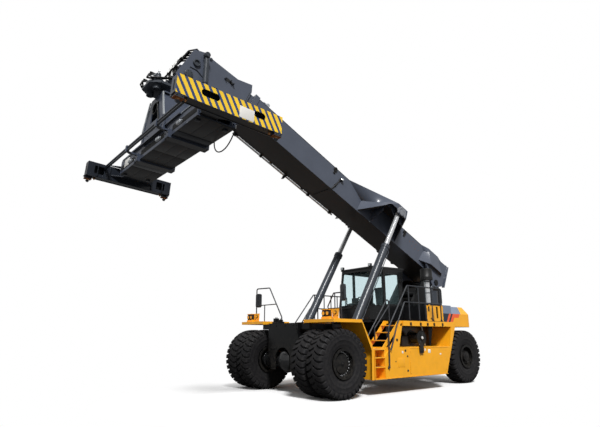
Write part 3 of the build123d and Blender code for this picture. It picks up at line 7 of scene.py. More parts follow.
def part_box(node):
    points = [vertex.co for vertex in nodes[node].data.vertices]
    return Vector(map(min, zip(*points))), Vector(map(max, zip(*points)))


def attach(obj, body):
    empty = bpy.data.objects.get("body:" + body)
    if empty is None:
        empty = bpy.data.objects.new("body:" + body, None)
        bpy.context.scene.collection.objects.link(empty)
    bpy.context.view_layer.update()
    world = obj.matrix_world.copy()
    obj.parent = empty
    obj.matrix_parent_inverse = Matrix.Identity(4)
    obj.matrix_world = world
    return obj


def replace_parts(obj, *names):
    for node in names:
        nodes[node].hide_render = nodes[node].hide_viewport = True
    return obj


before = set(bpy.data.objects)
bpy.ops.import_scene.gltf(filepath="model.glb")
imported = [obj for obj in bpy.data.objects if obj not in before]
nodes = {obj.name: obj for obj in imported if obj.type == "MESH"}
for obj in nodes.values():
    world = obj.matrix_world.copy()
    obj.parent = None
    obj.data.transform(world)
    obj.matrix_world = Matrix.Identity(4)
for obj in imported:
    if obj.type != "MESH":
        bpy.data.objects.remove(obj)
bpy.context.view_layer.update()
scene = bpy.context.scene
scene.view_settings.view_transform = "Standard"

# Places are in metres: x ahead, y to the left, z up from the ground.
SIDES = (("left", 1), ("right", -1))
AHEAD, UP, DOWN = (1, 0, 0), (0, 0, 1), (0, 0, -1)
FRONT_AXLE_X, REAR_AXLE_X, AXLE_Z = 0.95, -5.05, 0.82
BODY_SIDE, DECK_TOP = 2.05, 1.87
YELLOW, NAVY, BAND_RED, DUST = "#ffb21e", "#1b2636", "#f2602c", "#7d7468"


def linear(hex_colour):
    """An sRGB hex colour as linear red, green, blue and alpha."""
    parts = [int(hex_colour[i:i + 2], 16) / 255 for i in (1, 3, 5)]
    return [p / 12.92 if p <= 0.04045 else ((p + 0.055) / 1.055) ** 2.4 for p in parts] + [1.0]


def add_node(tree, kind, inputs=()):
    """One shader node. An option or input takes a value, or an input the socket that feeds it."""
    node = tree.nodes.new("ShaderNode" + kind)
    for key, value in dict(inputs).items():
        if isinstance(value, bpy.types.NodeSocket):
            tree.links.new(value, node.inputs[key])
        elif isinstance(key, str) and hasattr(node, key):
            setattr(node, key, value)
        else:
            node.inputs[key].default_value = value
    return node


def calc(tree, operation, *terms):
    """The result of a maths node on numbers or sockets."""
    return add_node(tree, "Math", {"operation": operation, **dict(enumerate(terms))}).outputs[0]


def remap(tree, value, low, high, to_low=0.0, to_high=1.0):
    """A value from one range spread over another, and held inside it."""
    inputs = {"Value": value, "From Min": low, "From Max": high, "To Min": to_low, "To Max": to_high}
    return add_node(tree, "MapRange", inputs).outputs["Result"]


def blend(tree, share, first, second):
    """The first colour, turning to the second as the share goes to 1; each is hex, linear or a socket."""
    first, second = (linear(colour) if isinstance(colour, str) else colour for colour in (first, second))
    return add_node(tree, "MixRGB", {"Fac": share, "Color1": first, "Color2": second}).outputs[0]


def noise(tree, place, scale, detail, roughness=0.5):
    """Cloudy noise between 0 and 1; scale is about how many clouds there are in a metre."""
    inputs = {"Vector": place, "Scale": scale, "Detail": detail, "Roughness": roughness}
    return add_node(tree, "TexNoise", inputs).outputs["Fac"]


def axes_of(tree, vector):
    """The X, Y and Z sockets of a vector."""
    return add_node(tree, "SeparateXYZ", {0: vector}).outputs


def soft_edges(tree, radius):
    """The surface normal with every edge rounded."""
    return add_node(tree, "Bevel", {"samples": 4, "Radius": radius}).outputs[0]


def bump(tree, height, strength, distance, normal=None):
    """The surface normal disturbed by a height, on top of another normal when one is given."""
    inputs = {"Height": height, "Strength": strength, "Distance": distance}
    if normal:
        inputs["Normal"] = normal
    return add_node(tree, "Bump", inputs).outputs["Normal"]


def new_material(name):
    """A node material, its empty tree and the socket that gives the place on the object."""
    material = bpy.data.materials.new(name)
    material.use_nodes = True
    tree = material.node_tree
    tree.nodes.clear()
    return material, tree, add_node(tree, "TexCoord").outputs["Object"]


def end_material(tree, shader):
    """Sends a shader to the surface."""
    add_node(tree, "OutputMaterial", {"Surface": shader.outputs[0]})


def principled(tree, inputs):
    """Ends a material with the general shader."""
    end_material(tree, add_node(tree, "BsdfPrincipled", inputs))


def put_in_scene(name, data):
    """A new object of some data, linked into the scene."""
    made = bpy.data.objects.new(name, data)
    scene.collection.objects.link(made)
    return made


# The studio floor is plain pale card, lit evenly so that it stays white and keeps the shadow.
# Beyond the machine's own footprint it runs out into the white behind, with no horizon line.
card, tree, place = new_material("pale_card")
# the footprint is an ellipse, longer along the machine and centred under its body
squeeze = {"operation": "MULTIPLY_ADD", 0: place, 1: (0.62, 1.0, 0.0), 2: (1.1, -0.5, 0.0)}
round_place = add_node(tree, "VectorMath", squeeze).outputs[0]
reach = add_node(tree, "VectorMath", {"operation": "LENGTH", 0: round_place}).outputs["Value"]
nap = bump(tree, noise(tree, place, 900.0, 3.0), 0.05, 0.0005)
eye = add_node(tree, "LightPath").outputs["Is Camera Ray"]
# the card is white to the eye, and a mid grey in the light that it throws back at the machine
lit = add_node(tree, "BsdfDiffuse", {"Color": blend(tree, eye, "#606060", "#fdfdfd"), "Normal": nap})
glow = add_node(tree, "Emission", {"Color": linear("#ffffff")})
fade = calc(tree, "MULTIPLY", remap(tree, reach, 3.0, 4.9), eye)
end_material(tree, add_node(tree, "MixShader", {0: fade, 1: lit.outputs[0], 2: glow.outputs[0]}))
FLOOR_HALF = 40
corners = [(x * FLOOR_HALF, y * FLOOR_HALF, 0) for x, y in ((-1, -1), (1, -1), (1, 1), (-1, 1))]
mesh = bpy.data.meshes.new("floor")
mesh.from_pydata(corners, [], [(0, 1, 2, 3)])
mesh.materials.append(card)
put_in_scene("floor", mesh)

# The camera stands low in front of the left front wheels and looks slightly up.
camera_data = bpy.data.cameras.new("camera")
camera = put_in_scene("camera", camera_data)
heading, lift = math.radians(-129.18), math.radians(14.83)
aim = Vector((math.cos(heading) * math.cos(lift), math.sin(heading) * math.cos(lift), math.sin(lift)))
camera.location = (9.0431, 10.3333, 1.4738)
camera.rotation_mode = "QUATERNION"
camera.rotation_quaternion = aim.to_track_quat("-Z", "Y")
camera_data.sensor_width = 36
camera_data.lens = 27.64
camera_data.clip_end = 200
scene.camera = camera

# An even white sky does most of the lighting, and seen directly or through glass it is plain white.
# One broad lamp from the left front gives the forms their light and dark sides.
world = bpy.data.worlds.new("white_sky")
scene.world = world
world.use_nodes = True
tree = world.node_tree
tree.nodes.clear()
rays = add_node(tree, "LightPath").outputs
seen = calc(tree, "MAXIMUM", rays["Is Camera Ray"], rays["Is Transmission Ray"])
strength = remap(tree, seen, 0.0, 1.0, 0.38, 1.0)
sky = add_node(tree, "Background", {"Color": linear("#ffffff"), "Strength": strength})
add_node(tree, "OutputWorld", {"Surface": sky.outputs[0]})
for name, energy, spread, direction in (
    ("key_lamp", 3.5, 12, (0.42, 0.74, 0.92)),
    ("top_lamp", 0.25, 60, (-0.2, -0.5, 1.0)),
):
    lamp_data = bpy.data.lights.new(name, "SUN")
    lamp_data.energy = energy
    lamp_data.angle = math.radians(spread)
    lamp = put_in_scene(name, lamp_data)
    lamp.rotation_mode = "QUATERNION"
    lamp.rotation_quaternion = Vector(direction).to_track_quat("Z", "Y")


def coated(name, colour, roughness, dusty=0.25, worn=0.25, primer="#6a6a68", coat=0.15, spec=0.5):
    """Sprayed enamel on steel: uneven tone, orange peel, soft edges, chips on edges, dust near the ground.

    colour is hex, or a pattern: a function of the tree and the place socket that gives a colour socket.
    """
    material, tree, place = new_material(name)
    if callable(colour):
        paint = colour(tree, place)
    else:
        paint = add_node(tree, "RGB").outputs[0]
        paint.default_value = linear(colour)
    # tone drifts over about 0.4 m, as a sprayed coat does
    drift = remap(tree, noise(tree, place, 2.5, 4.0), 0.3, 0.7, 0.94, 1.06)
    tone = add_node(tree, "VectorMath", {"operation": "SCALE", 0: paint, "Scale": drift}).outputs[0]
    # dust lies thickest below axle height, in patches about 80 mm across
    low = remap(tree, axes_of(tree, place)["Z"], 1.5, 0.3, 0.02, dusty)
    film = calc(tree, "MULTIPLY", low, remap(tree, noise(tree, place, 12.0, 6.0, 0.65), 0.35, 0.75))
    # a 5 mm rounding on every plate edge, and primer showing where its paint is rubbed
    soft = soft_edges(tree, 0.005)
    flat = add_node(tree, "NewGeometry").outputs["Normal"]
    turn = add_node(tree, "VectorMath", {"operation": "DOT_PRODUCT", 0: soft, 1: flat}).outputs["Value"]
    scuff = remap(tree, noise(tree, place, 22.0, 8.0, 0.7), 0.56, 0.62, 0.0, worn)
    chip = calc(tree, "MULTIPLY", remap(tree, turn, 0.985, 0.85), scuff)
    # orange peel is 1 to 2 mm across, drawn at 4 mm so that it shows
    peel = noise(tree, place, 250.0, 2.0)
    principled(tree, {
        "Base Color": blend(tree, chip, blend(tree, film, tone, DUST), primer),
        "Roughness": remap(tree, film, 0.0, 0.3, roughness, roughness + 0.3),
        "Normal": bump(tree, peel, 0.12, 0.0006, soft),
        "IOR": 1.5, "Specular IOR Level": spec, "Coat Weight": coat, "Coat Roughness": 0.12,
    })
    return material


def bare_metal(name, colour, roughness, streak=60.0, metallic=1.0):
    """Bare or plated metal: faint tool marks and a thin uneven film."""
    material, tree, place = new_material(name)
    film = noise(tree, place, 9.0, 6.0, 0.6)
    dull = [part * 0.78 for part in linear(colour)[:3]] + [1.0]
    marks = noise(tree, place, streak * 6, 3.0)
    principled(tree, {
        "Metallic": metallic, "Base Color": blend(tree, film, colour, dull),
        "Roughness": remap(tree, film, 0.3, 0.7, roughness * 0.8, roughness * 1.3),
        "Normal": bump(tree, marks, 0.06, 0.0004, soft_edges(tree, 0.002)),
    })
    return material


def finish_nodes(material, *names):
    """Gives CAD nodes a material in all their slots."""
    for name in names:
        slots = nodes[name].data.materials
        for index in range(len(slots)):
            slots[index] = material


def ride_piece(name, bm, material, body, smooth=35, place=None):
    """Makes a mesh into a piece on a body; faces closer than `smooth` degrees shade as one surface."""
    if place:
        bm.transform(place)
    bmesh.ops.recalc_face_normals(bm, faces=bm.faces)
    mesh = bpy.data.meshes.new(name)
    bm.to_mesh(mesh)
    bm.free()
    mesh.shade_smooth()
    mesh.set_sharp_from_angle(angle=math.radians(smooth))
    mesh.materials.append(material)
    made = put_in_scene(name, mesh)
    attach(made, body)
    return made


def new_meshes(count):
    """Empty meshes to build pieces in."""
    return [bmesh.new() for _ in range(count)]


def turns(count, start=0.0):
    """Angles evenly spaced round a full turn."""
    return [2 * math.pi * k / count + start for k in range(count)]


def hoop(centre, radius, angles, axis):
    """Points on a circle square to axis 0, 1 or 2."""
    points = []
    for t in angles:
        spot = [radius * math.cos(t), radius * math.sin(t)]
        spot.insert(axis, 0.0)
        points.append(Vector(centre) + Vector(spot))
    return points


def rounded_ring(centre, straight, radius, count=24, start=0.0):
    """Points round a slot or rounded block: half its straight length and its end radius on both axes."""
    ring = []
    for t in turns(count, start):
        parts = zip(centre, straight, radius, (math.cos(t), math.sin(t)))
        ring.append([middle + (half if way > 0 else -half) + size * way for middle, half, size, way in parts])
    return ring


def lathe(bm, start, axis, profile, sides=32):
    """Turns (along, radius) pairs round an axis through start; a radius of 0 closes the end."""
    axis = Vector(axis).normalized()
    across = axis.orthogonal().normalized()
    up = axis.cross(across)
    rings = []
    for along, radius in profile:
        middle = Vector(start) + axis * along
        angles = turns(sides) if radius else [0.0]
        ring = [middle + (across * math.cos(t) + up * math.sin(t)) * radius for t in angles]
        rings.append([bm.verts.new(spot) for spot in ring])
    for low, high in zip(rings, rings[1:]):
        for k in range(sides):
            a, b = low[k % len(low)], low[(k + 1) % len(low)]
            c, d = high[(k + 1) % len(high)], high[k % len(high)]
            corners = list(dict.fromkeys((a, b, c, d)))
            if len(corners) > 2:
                bm.faces.new(corners)


def rod(bm, start, end, radius, sides=20):
    """A round bar with a small chamfer at both ends."""
    way = Vector(end) - Vector(start)
    length = way.length
    ease = min(0.15 * radius, 0.2 * length)
    half = [(0, 0), (0, radius - ease), (ease, radius)]
    lathe(bm, start, way, half + [(length - along, width) for along, width in reversed(half)], sides)


def bolt(bm, at, axis, size):
    """A hex bolt head on its washer; size is the thread in metres."""
    washer, rim, head = size * 0.18, size * 1.15, size * 0.72
    lathe(bm, at, axis, [(0, rim), (washer, rim), (washer, 0)], 16)
    seat = Vector(at) + Vector(axis).normalized() * washer
    lathe(bm, seat, axis, [(0, size * 0.9), (size * 0.6, size * 0.9), (head, head), (head, 0)], 6)


def bolt_ring(bm, centre, axis, radius, count, size, turn=0.0):
    """Bolts evenly spaced round an axis."""
    axis = Vector(axis).normalized()
    across = axis.orthogonal().normalized()
    up = axis.cross(across)
    for t in turns(count, turn):
        bolt(bm, Vector(centre) + (across * math.cos(t) + up * math.sin(t)) * radius, axis, size)


def cuboid(bm, corner, far_corner, ease=0.0):
    """A block between two opposite corners, with its edges eased when ease is given."""
    made = bmesh.ops.create_cube(bm, size=1)["verts"]
    ends = [sorted(pair) for pair in zip(corner, far_corner)]
    for vertex in made:
        vertex.co = [end[part > 0] for end, part in zip(ends, vertex.co)]
    if ease:
        edges = list({edge for vertex in made for edge in vertex.link_edges})
        bmesh.ops.bevel(bm, geom=edges, offset=ease, segments=2, profile=0.6, affect="EDGES")


def slab(bm, outline, axis, low, high):
    """A flat plate: an outline in the two other axes, thick from low to high along axis 0, 1 or 2."""
    def corner(pair, level):
        spot = list(pair)
        spot.insert(axis, level)
        return bm.verts.new(spot)
    near = [corner(pair, low) for pair in outline]
    far = [corner(pair, high) for pair in outline]
    bm.faces.new(near)
    bm.faces.new(far[::-1])
    for k in range(len(outline)):
        bm.faces.new((near[k], near[k - 1], far[k - 1], far[k]))


def pipe_run(bm, points, radius, sides=12):
    """A round pipe or bar along a bent path."""
    points = [Vector(p) for p in points]
    legs = [(b - a).normalized() for a, b in zip(points, points[1:])]
    across = legs[0].orthogonal().normalized()
    rings = []
    for point, behind, ahead in zip(points, legs[:1] + legs, legs + legs[-1:]):
        along = (ahead + behind).normalized()
        across = (across - along * across.dot(along)).normalized()
        up = along.cross(across)
        swell = 1 / max(0.5, along.dot(ahead))
        ring = [point + (across * math.cos(t) * swell + up * math.sin(t)) * radius for t in turns(sides)]
        rings.append([bm.verts.new(spot) for spot in ring])
    for low, high in zip(rings, rings[1:]):
        for j in range(sides):
            bm.faces.new((low[j - 1], low[j], high[j], high[j - 1]))
    bm.faces.new(rings[0][::-1])
    bm.faces.new(rings[-1])


# The frame is welded from thick steel plate and sprayed blue-black, a satin two-pack enamel that
# shows slight orange peel, rounded plate edges and road dust low down.
frame_enamel = coated("blue_black_frame_enamel", "#090b0e", 0.32, spec=0.22)
finish_nodes(
    frame_enamel, "chassis_frame", "boom_towers", "rear_axle", "rear_left_knuckle", "rear_right_knuckle",
    "engine_block"
)
zinc = bare_metal("zinc_plated_steel", "#c8cbcc", 0.32)
black_bolt = bare_metal("black_zinc_flake", "#3a3b3d", 0.45)

# Port tyres of natural rubber, moulded with deep open-shoulder lugs that meet in a zigzag at the
# middle. The sidewalls carry fine moulded rings; the treads keep a grey bloom of yard dust.
rubber, tree, place = new_material("moulded_tyre_rubber")
bloom = remap(tree, noise(tree, place, 14.0, 7.0, 0.65), 0.35, 0.8)
# rubber grain is well under 1 mm, drawn at 3 mm so that it breaks up the gloss
pores = noise(tree, place, 330.0, 4.0)
principled(tree, {
    "Base Color": blend(tree, bloom, "#1b1b1e", "#32302f"),
    "Roughness": remap(tree, bloom, 0.0, 1.0, 0.55, 0.8),
    "Normal": bump(tree, pores, 0.25, 0.001, soft_edges(tree, 0.006)),
    "IOR": 1.52, "Specular IOR Level": 0.18,
})

TYRE_HALF = 0.25
LUGS = 32
LUG_HALF = 0.050 / AXLE_Z
LUG_LEAN, LUG_BOW = math.radians(7), math.radians(2.2)
LUG_FLANK = 1.22
# each row: across the tread from its middle, radius on top, then across and radius at the root
LUG_ROWS = (
    (-0.018, 0.8190, -0.014, 0.772), (0.030, 0.8195, 0.030, 0.772), (0.110, 0.8185, 0.110, 0.771),
    (0.185, 0.8140, 0.180, 0.764), (0.226, 0.8020, 0.206, 0.748), (0.2450, 0.7750, 0.222, 0.728),
    (0.2490, 0.7350, 0.234, 0.705), (0.2475, 0.6900, 0.243, 0.683),
)
CARCASS = (
    (0.000, 0.775), (0.120, 0.774), (0.182, 0.768), (0.209, 0.752), (0.227, 0.731), (0.2385, 0.706),
    (0.2455, 0.680), (0.2470, 0.668), (0.2490, 0.662), (0.2490, 0.650), (0.2470, 0.644), (0.2478, 0.600),
    (0.2462, 0.560), (0.2475, 0.556), (0.2475, 0.548), (0.2445, 0.544), (0.2360, 0.490), (0.2290, 0.458),
    (0.2290, 0.448), (0.2240, 0.440), (0.2140, 0.405), (0.2080, 0.390), (0.2080, 0.372), (0.1980, 0.366),
)


def tyre(bm, x, y, z):
    """One tyre about its axle line: the turned carcass, then lugs in from both shoulders."""
    for side, start in ((-1, 0.0), (1, math.pi / LUGS)):
        lathe(bm, (x, y, z), (0, side, 0), CARCASS, 96)
        for lug in turns(LUGS, start):
            rows = []
            for across, top, root_across, root in LUG_ROWS:
                reach = max(across, 0) / TYRE_HALF
                angle = lug + LUG_LEAN * reach + LUG_BOW * math.sin(reach * math.pi)
                row = []
                for level, width, flank in (
                    (root, root_across, -LUG_FLANK), (top, across, -1),
                    (top, across, 1), (root, root_across, LUG_FLANK),
                ):
                    turn = angle + flank * LUG_HALF
                    spot = (x + math.sin(turn) * level, y + side * width, z + math.cos(turn) * level)
                    row.append(bm.verts.new(spot))
                rows.append(row)
            for near, far in zip(rows, rows[1:]):
                for a in range(3):
                    bm.faces.new((near[a], near[a + 1], far[a + 1], far[a]))
            bm.faces.new(rows[0])
            bm.faces.new(rows[-1][::-1])


for name, body, twin in (
    ("front_left_tyres", "front_left_wheels", True), ("front_right_tyres", "front_right_wheels", True),
    ("rear_left_tyre", "rear_left_wheel", False), ("rear_right_tyre", "rear_right_wheel", False),
):
    low, high = (Vector(corner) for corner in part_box(name))
    middle = (low + high) / 2
    bm = bmesh.new()
    for y in (low.y + TYRE_HALF, high.y - TYRE_HALF) if twin else (middle.y,):
        tyre(bm, middle.x, y, AXLE_Z)
    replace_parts(ride_piece(name + "_treaded", bm, rubber, body, 50), name)

# Rims and hubs are rolled and cast steel in black enamel; the fronts hold planetary gears under a
# domed cover. A ring of bright wheel nuts clamps each front rim to its hub.
rim_enamel = coated("black_rim_enamel", "#0c0d0f", 0.36, dusty=0.2, spec=0.25)
finish_nodes(rim_enamel, "front_left_rims", "front_right_rims", "rear_left_rim", "rear_right_rim")
nut_zinc = bare_metal("bright_zinc_nuts", "#f0f2f4", 0.35, metallic=0.15)
front, back = Vector((FRONT_AXLE_X, 0, AXLE_Z)), Vector((REAR_AXLE_X, 0, AXLE_Z))
for side, sign in SIDES:
    out = Vector((0, sign, 0))
    nuts, cover, rear = new_meshes(3)
    for at in hoop(front + out * 1.925, 0.276, turns(24, math.pi / 24), 1):
        bolt(nuts, at, out, 0.024)
        rod(nuts, at, at + out * 0.038, 0.013, 10)
    ride_piece(f"front_{side}_wheel_nuts", nuts, nut_zinc, f"front_{side}_wheels")
    bolt_ring(cover, front + out * 1.985, out, 0.232, 16, 0.011)
    bolt_ring(cover, front + out * 2.001, out, 0.10, 6, 0.012)
    lathe(cover, front + out * 2.0, out, [(0, 0.07), (0.012, 0.068), (0.018, 0.055), (0.018, 0.0)])
    for stem in hoop(front + out * 1.92, 0.315, turns(3, 0.4), 1):
        rod(cover, stem, stem + out * 0.06, 0.006, 8)
    ride_piece(f"front_{side}_hub_bolts", cover, black_bolt, f"front_{side}_wheels")
    bolt_ring(rear, back + out * 1.50, out, 0.215, 10, 0.02)
    bolt_ring(rear, back + out * 1.535, out, 0.115, 8, 0.010)
    lathe(rear, back + out * 1.5405, out, [(0, 0.075), (0.03, 0.073), (0.045, 0.05), (0.045, 0)], 28)
    ride_piece(f"rear_{side}_hub_bolts", rear, black_bolt, f"rear_{side}_wheel")

# The nose plate carries black hex bolts, a grab handle, two towing slots with rolled rims and
# the ribs that stiffen the arch.
nose_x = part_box("chassis_frame")[1][0]
nose, slots = new_meshes(2)
for y, z in (
    (-0.60, 1.74), (-0.30, 1.735), (0.10, 1.73), (0.45, 1.735), (0.60, 1.74), (-0.60, 1.10), (0.60, 1.10),
):
    bolt(nose, (nose_x, y, z), AHEAD, 0.018)
handle = [(0, 0.60, 1.66), (0.018, 0.602, 1.655), (0.018, 0.625, 1.52), (0, 0.627, 1.515)]
pipe_run(nose, [(nose_x + x, y, z) for x, y, z in handle], 0.009, 8)
for side in (-1, 1):
    middle = (side * 0.42, 1.146)
    slab(nose, rounded_ring(middle, (0.03, 0), (0.115, 0.042)), 0, nose_x, nose_x + 0.006)
    # inside each towing slot stands a thin near-black sheet of painted shade
    slab(slots, rounded_ring(middle, (0.03, 0), (0.095, 0.026)), 0, nose_x + 0.0055, nose_x + 0.0075)
    for y in (0.36, 0.43, 0.50):
        low, high = (nose_x - 0.035, side * y - 0.012, 0.60), (nose_x + 0.012, side * y + 0.012, 0.96)
        cuboid(nose, low, high, 0.003)
    low, high = (nose_x - 0.035, side * 0.43 - 0.10, 0.585), (nose_x + 0.010, side * 0.43 + 0.10, 0.605)
    cuboid(nose, low, high, 0.003)
ride_piece("nose_bolts_and_ribs", nose, frame_enamel, "chassis")
# near-black painted shade for the insides of holes, slots and recesses
painted_hole_shade = coated("shadowed_hollow_steel", "#040506", 0.7, coat=0, worn=0, dusty=0.05)
ride_piece("nose_towing_slots", slots, painted_hole_shade, "chassis")

# Two junction boxes for the work lamps stand on a base plate on the nose: pressed steel in the
# frame's blue-black, with three cable glands and two bolts through the base.
lamp_box = bmesh.new()
cuboid(lamp_box, (1.06, -0.54, 1.80), (1.20, -0.14, 1.84), 0.006)
cuboid(lamp_box, (1.08, -0.50, 1.84), (1.19, -0.36, 1.94), 0.012)
cuboid(lamp_box, (1.08, -0.30, 1.84), (1.18, -0.18, 1.90), 0.010)
for y, top in ((-0.46, 1.97), (-0.40, 1.97), (-0.24, 1.93)):
    rod(lamp_box, (1.13, y, 1.80), (1.13, y, top), 0.012, 10)
for y in (-0.52, -0.16):
    bolt(lamp_box, (1.09, y, 1.84), UP, 0.012)
ride_piece("nose_lamp_box", lamp_box, frame_enamel, "chassis")

# The drive axle is cast and turned steel under glossy blue-black enamel. A ring of bolts holds
# the half shell over the crown wheel, and the shell bulges forward through the arch.
ball_enamel = coated("glossy_axle_enamel", "#131518", 0.14, coat=0.6, dusty=0.1)
finish_nodes(ball_enamel, "front_axle")
axle = bmesh.new()
flange = [(0, 0.285), (0, 0.322), (0.026, 0.322), (0.030, 0.318), (0.030, 0.285)]
lathe(axle, (1.045, 0, 0.83), AHEAD, flange, 48)
bolt_ring(axle, (1.075, 0, 0.83), AHEAD, 0.308, 20, 0.014)
lathe(axle, (1.302, 0, 0.83), AHEAD, [(0, 0.05), (0.008, 0.048), (0.008, 0)], 20)
flange = [(0, 0.2), (0, 0.235), (0.03, 0.235), (0.035, 0.23), (0.035, 0.2)]
for side in (-1, 1):
    lathe(axle, (FRONT_AXLE_X, side * 0.93, AXLE_Z), (0, side, 0), flange, 40)
    bolt_ring(axle, (FRONT_AXLE_X, side * 0.93, AXLE_Z), (0, -side, 0), 0.22, 18, 0.012)
ride_piece("axle_shell_bolts", axle, ball_enamel, "chassis")

# The lift cylinders are honed tubes in slate enamel with a screwed gland; a steel line runs down
# each tube to its foot. The rods are hard chromed and polished, so they mirror the sky.
slate_enamel = coated("slate_cylinder_enamel", "#3b4047", 0.36, coat=0.12, dusty=0.1, spec=0.3)
finish_nodes(slate_enamel, "left_lift_barrel", "right_lift_barrel", "damper_barrels")
chrome = bare_metal("polished_hard_chrome", "#f6f8fa", 0.12, metallic=0.6)
finish_nodes(chrome, "left_lift_rod", "right_lift_rod", "damper_rods")
# the boom's own frame starts at its pivot, and the spreader's at the tilt pin in the boom's head
BOOM_PIVOT, BOOM_RISE, HANG_TILT = (-5.1, 0, 3.29), math.radians(25.1), math.radians(3.42)
TILT_PIN_X, TILT_PIN_Z = 10.8, 0.03
LIFT_PIN_X, LIFT_PIN_Z, LIFT_Y = 3.06, 0.825, 1.05
boom_place = Matrix.Translation(BOOM_PIVOT) @ Matrix.Rotation(-BOOM_RISE, 4, "Y")
TILT_PIN = boom_place @ Vector((TILT_PIN_X, 0, TILT_PIN_Z))
hang_place = Matrix.Translation(TILT_PIN) @ Matrix.Rotation(-HANG_TILT, 4, "Y")


def collar(bm, middle, axis, bore, radius, width, sides):
    """A plain ring round a tube."""
    lathe(bm, middle, axis, [(0, bore), (0, radius), (width, radius), (width, bore)], sides)


for side, sign in SIDES:
    foot = Vector((-0.14, sign * LIFT_Y, 1.2))
    way = (boom_place @ Vector((LIFT_PIN_X, sign * LIFT_Y, LIFT_PIN_Z)) - foot).normalized()
    out = Vector((0, sign, 0))
    forward = way.cross(out).normalized() * sign
    gland, foot_pin = new_meshes(2)
    for along, radius, width in (
        (3.39, 0.1415, 0.03), (3.47, 0.1405, 0.022), (0.30, 0.131, 0.05), (1.9, 0.1275, 0.012),
        (3.28, 0.129, 0.012),
    ):
        collar(gland, foot + way * along, way, 0.12, radius, width, 36)
    bolt_ring(gland, foot + way * 3.504, way, 0.118, 12, 0.012)
    line = foot + out * 0.10 + forward * 0.115
    pipe_run(gland, [
        foot + way * 3.36 + out * 0.10 + forward * 0.075, line + way * 3.32, line + way * 0.5,
        foot + way * 0.42 + out * 0.07 + forward * 0.08,
    ], 0.013, 10)
    for along in (0.9, 1.7, 2.5, 3.1):
        collar(gland, line + way * along, way, 0.006, 0.024, 0.04, 12)
    ride_piece(f"{side}_lift_gland_and_line", gland, slate_enamel, "lift_barrels")
    lathe(foot_pin, foot + out * 0.115, out, [(0, 0.075), (0.012, 0.075), (0.016, 0.070), (0.016, 0)], 24)
    keeper = Vector((0.09, 0.008, 0.02))
    cuboid(foot_pin, foot + out * 0.121 - keeper, foot + out * 0.121 + keeper, 0.003)
    for x in (-0.07, 0.07):
        bolt(foot_pin, foot + Vector((x, sign * 0.129, 0)), out, 0.012)
    ride_piece(f"{side}_lift_foot_pin", foot_pin, frame_enamel, "chassis")

# Fenders, body sides and ladders are folded and welded plate in orange-yellow gloss enamel; the
# deck has a yellow channel edge and a dark anti-slip top of raised lozenges.
GLOSS = {"coat": 0.25, "worn": 0.1, "dusty": 0.1}
yellow_enamel = coated("orange_yellow_gloss_enamel", YELLOW, 0.28, primer="#8a7a60", **GLOSS)
finish_nodes(yellow_enamel, "left_fender", "right_fender", "ladders")


def normal_up(tree):
    """How far a face looks up, from -1 to 1."""
    return axes_of(tree, add_node(tree, "TexCoord").outputs["Normal"])["Z"]


def checker_top(tree, place):
    """Yellow on the outer channel's face, black anti-slip coating on the rest of the walkway."""
    level = calc(tree, "LESS_THAN", normal_up(tree), 0.5)
    outer = calc(tree, "GREATER_THAN", calc(tree, "ABSOLUTE", axes_of(tree, place)["Y"]), 1.985)
    return blend(tree, calc(tree, "MULTIPLY", level, outer), "#121315", YELLOW)


def tank_recess(tree, place):
    """Yellow, but black on the panel that closes the back of the opening over the tank."""
    axes = axes_of(tree, place)
    deep = calc(tree, "LESS_THAN", calc(tree, "ABSOLUTE", axes["Y"]), 1.400)
    high = calc(tree, "GREATER_THAN", axes["Z"], 1.172)
    ahead = calc(tree, "GREATER_THAN", axes["X"], -3.405)
    back = calc(tree, "MULTIPLY", calc(tree, "MULTIPLY", deep, high), ahead)
    return blend(tree, back, YELLOW, "#101113")


deck_enamel = coated("deck_enamel_with_anti_slip_top", checker_top, 0.34, worn=0.2, dusty=0.1)
finish_nodes(deck_enamel, "deck")
tank_enamel = coated("tank_gloss_enamel", tank_recess, 0.28, **GLOSS)
finish_nodes(tank_enamel, "left_skirt", "right_skirt")
# raised lozenges of the tread plate, one every 60 mm, pressed into the walkways
LOZENGE_LEAN, LOZENGE_HIGH = 0.7, 0.0035
for side, sign in SIDES:
    tread = bmesh.new()
    for row in range(17):
        for column in range(40):
            lean = LOZENGE_LEAN if (row + column) % 2 else -LOZENGE_LEAN
            way = Vector((math.cos(lean), math.sin(lean), 0)) * 0.017
            wide = Vector((-math.sin(lean), math.cos(lean), 0)) * 0.005
            at = Vector((-3.78 + column * 0.06, sign * (0.76 + row * 0.072), DECK_TOP))
            base = [tread.verts.new(corner) for corner in (at - way, at - wide, at + way, at + wide)]
            crest = tread.verts.new(at + Vector((0, 0, LOZENGE_HIGH)))
            for k in range(4):
                tread.faces.new((base[k - 1], base[k], crest))
    ride_piece(f"{side}_deck_tread_lozenges", tread, deck_enamel, "chassis", 20)

# Small fittings on the yellow panels: blank white sign plates, black rubber bungs, the bolted
# service cover and the strip that closes the step box. They are on both sides alike.
blank_sign = coated("blank_sign_vinyl", "#eceae4", 0.35, coat=0, worn=0, dusty=0.08)
plastic = coated("black_moulded_plastic", "#141516", 0.48, coat=0, worn=0, dusty=0.15)
TOOTH_PITCH = 0.05
tooth = [(0, 0.016), (0.005, 0.011), (0.005, 0.007), (0.001, 0.006), (0.001, 0)]


def side_plate(bm, sign, x0, x1, z0, z1, thick, ease):
    """A block on the outside of the body, thick metres proud of it."""
    cuboid(bm, (x0, sign * BODY_SIDE, z0), (x1, sign * (BODY_SIDE + thick), z1), ease)


